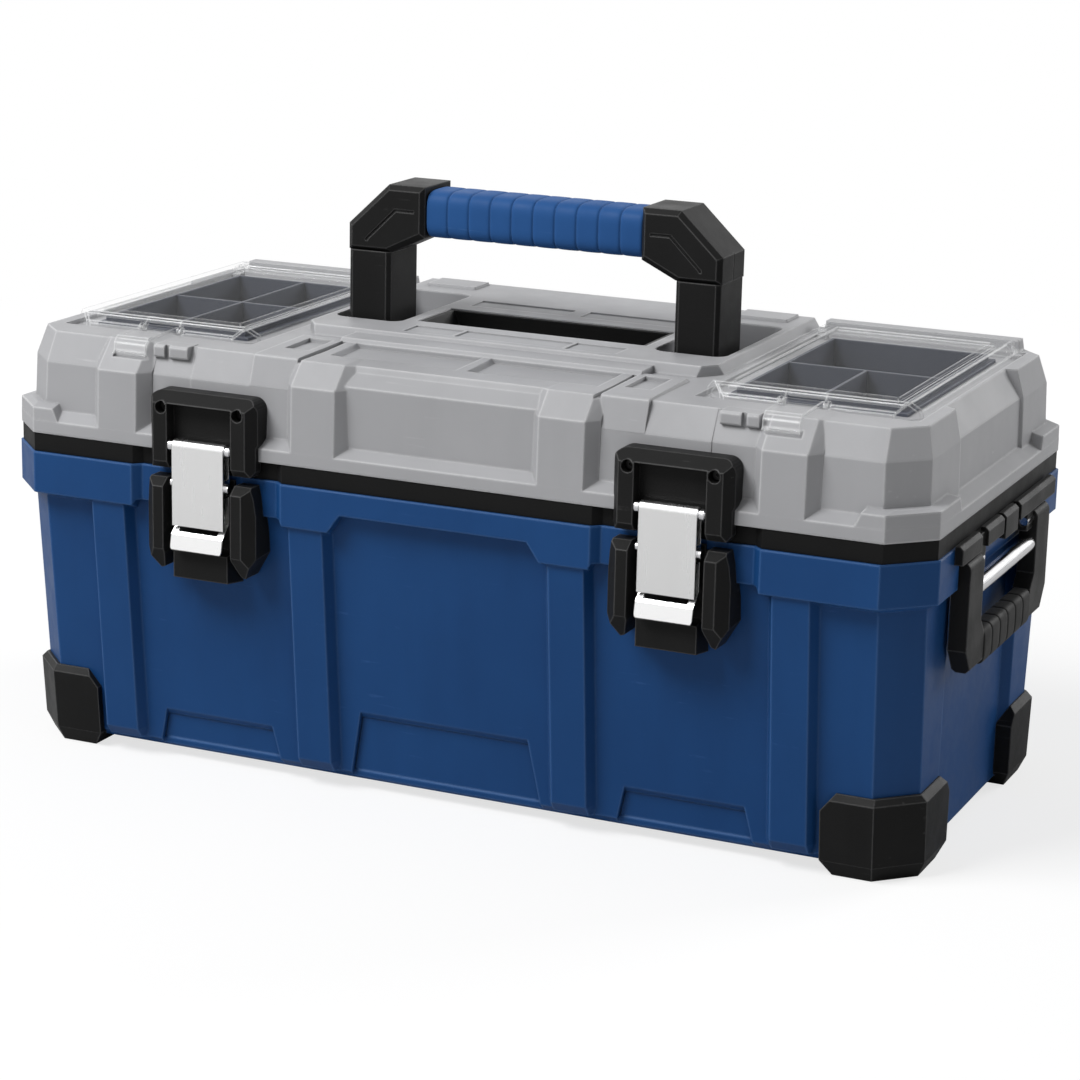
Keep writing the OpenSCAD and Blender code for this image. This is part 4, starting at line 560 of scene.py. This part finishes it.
def floor_material():
    """Pale floor: to the camera its own shaded tone, which keeps the shadow, mixed with white.

    The white takes half of it under the case and all of it far away. It glows brighter near the
    case, so that the mix stays near white there too.
    """
    mat = bpy.data.materials.new("stage_floor")
    mat.use_nodes = True
    tree = mat.node_tree
    tree.nodes.clear()
    matt = put(node(tree, "ShaderNodeBsdfDiffuse", (0, 100)), Color=paint(FLOOR_TONE))
    away = node(tree, "ShaderNodeVectorMath", (-600, 100), operation="LENGTH")
    feed(away.inputs[0], object_place(tree, (-800, 100)))
    distance = away.outputs["Value"]
    white_share = ramp(tree, distance, FLOOR_FADE, FLOOR_WHITE_SHARE, (-400, 100))
    glow = ramp(tree, distance, FLOOR_FADE, FLOOR_GLOW, (-400, -150))
    white = put(node(tree, "ShaderNodeEmission", (0, -100)), Strength=glow)
    camera_ray = node(tree, "ShaderNodeLightPath", (-400, 400)).outputs["Is Camera Ray"]
    mix = node(tree, "ShaderNodeMixShader", (250, 0))
    feed(mix.inputs[0], math_node(tree, "MULTIPLY", camera_ray, white_share, (-150, 300)))
    feed(mix.inputs[1], matt.outputs["BSDF"])
    feed(mix.inputs[2], white.outputs["Emission"])
    put(node(tree, "ShaderNodeOutputMaterial", (500, 0)), Surface=mix.outputs["Shader"])
    return mat


def make_floor():
    """A flat round floor just under the feet: points at even turns on a circle."""
    turns = np.linspace(0, 2 * math.pi, FLOOR_SIDES + 1)[:-1]
    level = np.full(FLOOR_SIDES, FLOOR_Z)
    circle = np.stack([FLOOR_RADIUS * np.cos(turns), FLOOR_RADIUS * np.sin(turns), level], 1)
    mesh = bpy.data.meshes.new("stage_floor")
    mesh.from_pydata(circle.tolist(), [], [list(range(FLOOR_SIDES))])
    obj = bpy.data.objects.new("stage_floor", mesh)
    bpy.context.collection.objects.link(obj)
    mesh.materials.append(floor_material())


def make_world():
    """White to the camera and in reflections, softer on surfaces."""
    world = bpy.data.worlds.new("studio")
    bpy.context.scene.world = world
    world.use_nodes = True
    tree = world.node_tree
    tree.nodes.clear()
    path = node(tree, "ShaderNodeLightPath", (-600, 0)).outputs
    through = math_node(
        tree, "MAXIMUM", path["Is Camera Ray"], path["Is Transmission Ray"], (-400, 100))
    seen = math_node(tree, "MAXIMUM", through, path["Is Glossy Ray"], (-250, 0))
    strength = ramp(tree, seen, (0.0, 1.0), (WORLD_SOFT, WORLD_SEEN), (-100, 0))
    back = node(tree, "ShaderNodeBackground", (100, 0))
    put(back, Color=(1, 1, 1, 1), Strength=strength)
    put(node(tree, "ShaderNodeOutputWorld", (300, 0)), Surface=back.outputs["Background"])


def lamp(name, *, place, aim, size, power):
    """A rectangular soft box at place that faces aim."""
    light = bpy.data.lights.new(name, "AREA")
    light.shape = "RECTANGLE"
    light.size, light.size_y = size
    light.energy = power
    obj = bpy.data.objects.new(name, light)
    obj.location = place
    obj.rotation_euler = (Vector(aim) - Vector(place)).to_track_quat("-Z", "Y").to_euler()
    bpy.context.collection.objects.link(obj)


def make_camera():
    """The photograph's view, from the right of the front: 24 degrees round, 15 down, 1.3 over."""
    yaw, pitch, roll = 0.419, 0.2615, 0.0229
    stand = (0.71343, -1.59525, 0.59618)
    level_ahead = (-math.sin(yaw) * math.cos(pitch), math.cos(yaw) * math.cos(pitch))
    ahead = Vector((*level_ahead, -math.sin(pitch)))
    right = ahead.cross(Vector((0, 0, 1))).normalized()
    up = right.cross(ahead)
    right_rolled = right * math.cos(roll) + up * math.sin(roll)
    up_rolled = right_rolled.cross(ahead)
    camera = bpy.data.cameras.new("camera")
    camera.lens, camera.sensor_width = 102.25, 36
    camera.clip_start, camera.clip_end = 0.05, 50
    obj = bpy.data.objects.new("camera", camera)
    place = Matrix((right_rolled, up_rolled, -ahead)).transposed().to_4x4()
    place.translation = Vector(stand)
    obj.matrix_world = place
    bpy.context.collection.objects.link(obj)
    bpy.context.scene.camera = obj


make_floor()
make_world()
lamp("key", place=(-1.1, -1.5, 2.3), aim=(0, 0, 0.1), size=(1.5, 1.2), power=67)
lamp("fill_right", place=(1.4, 1.75, 1.1), aim=(0.2, 0, 0.15), size=(1.0, 1.0), power=22)
make_camera()
bpy.context.scene.view_settings.view_transform = "Standard"
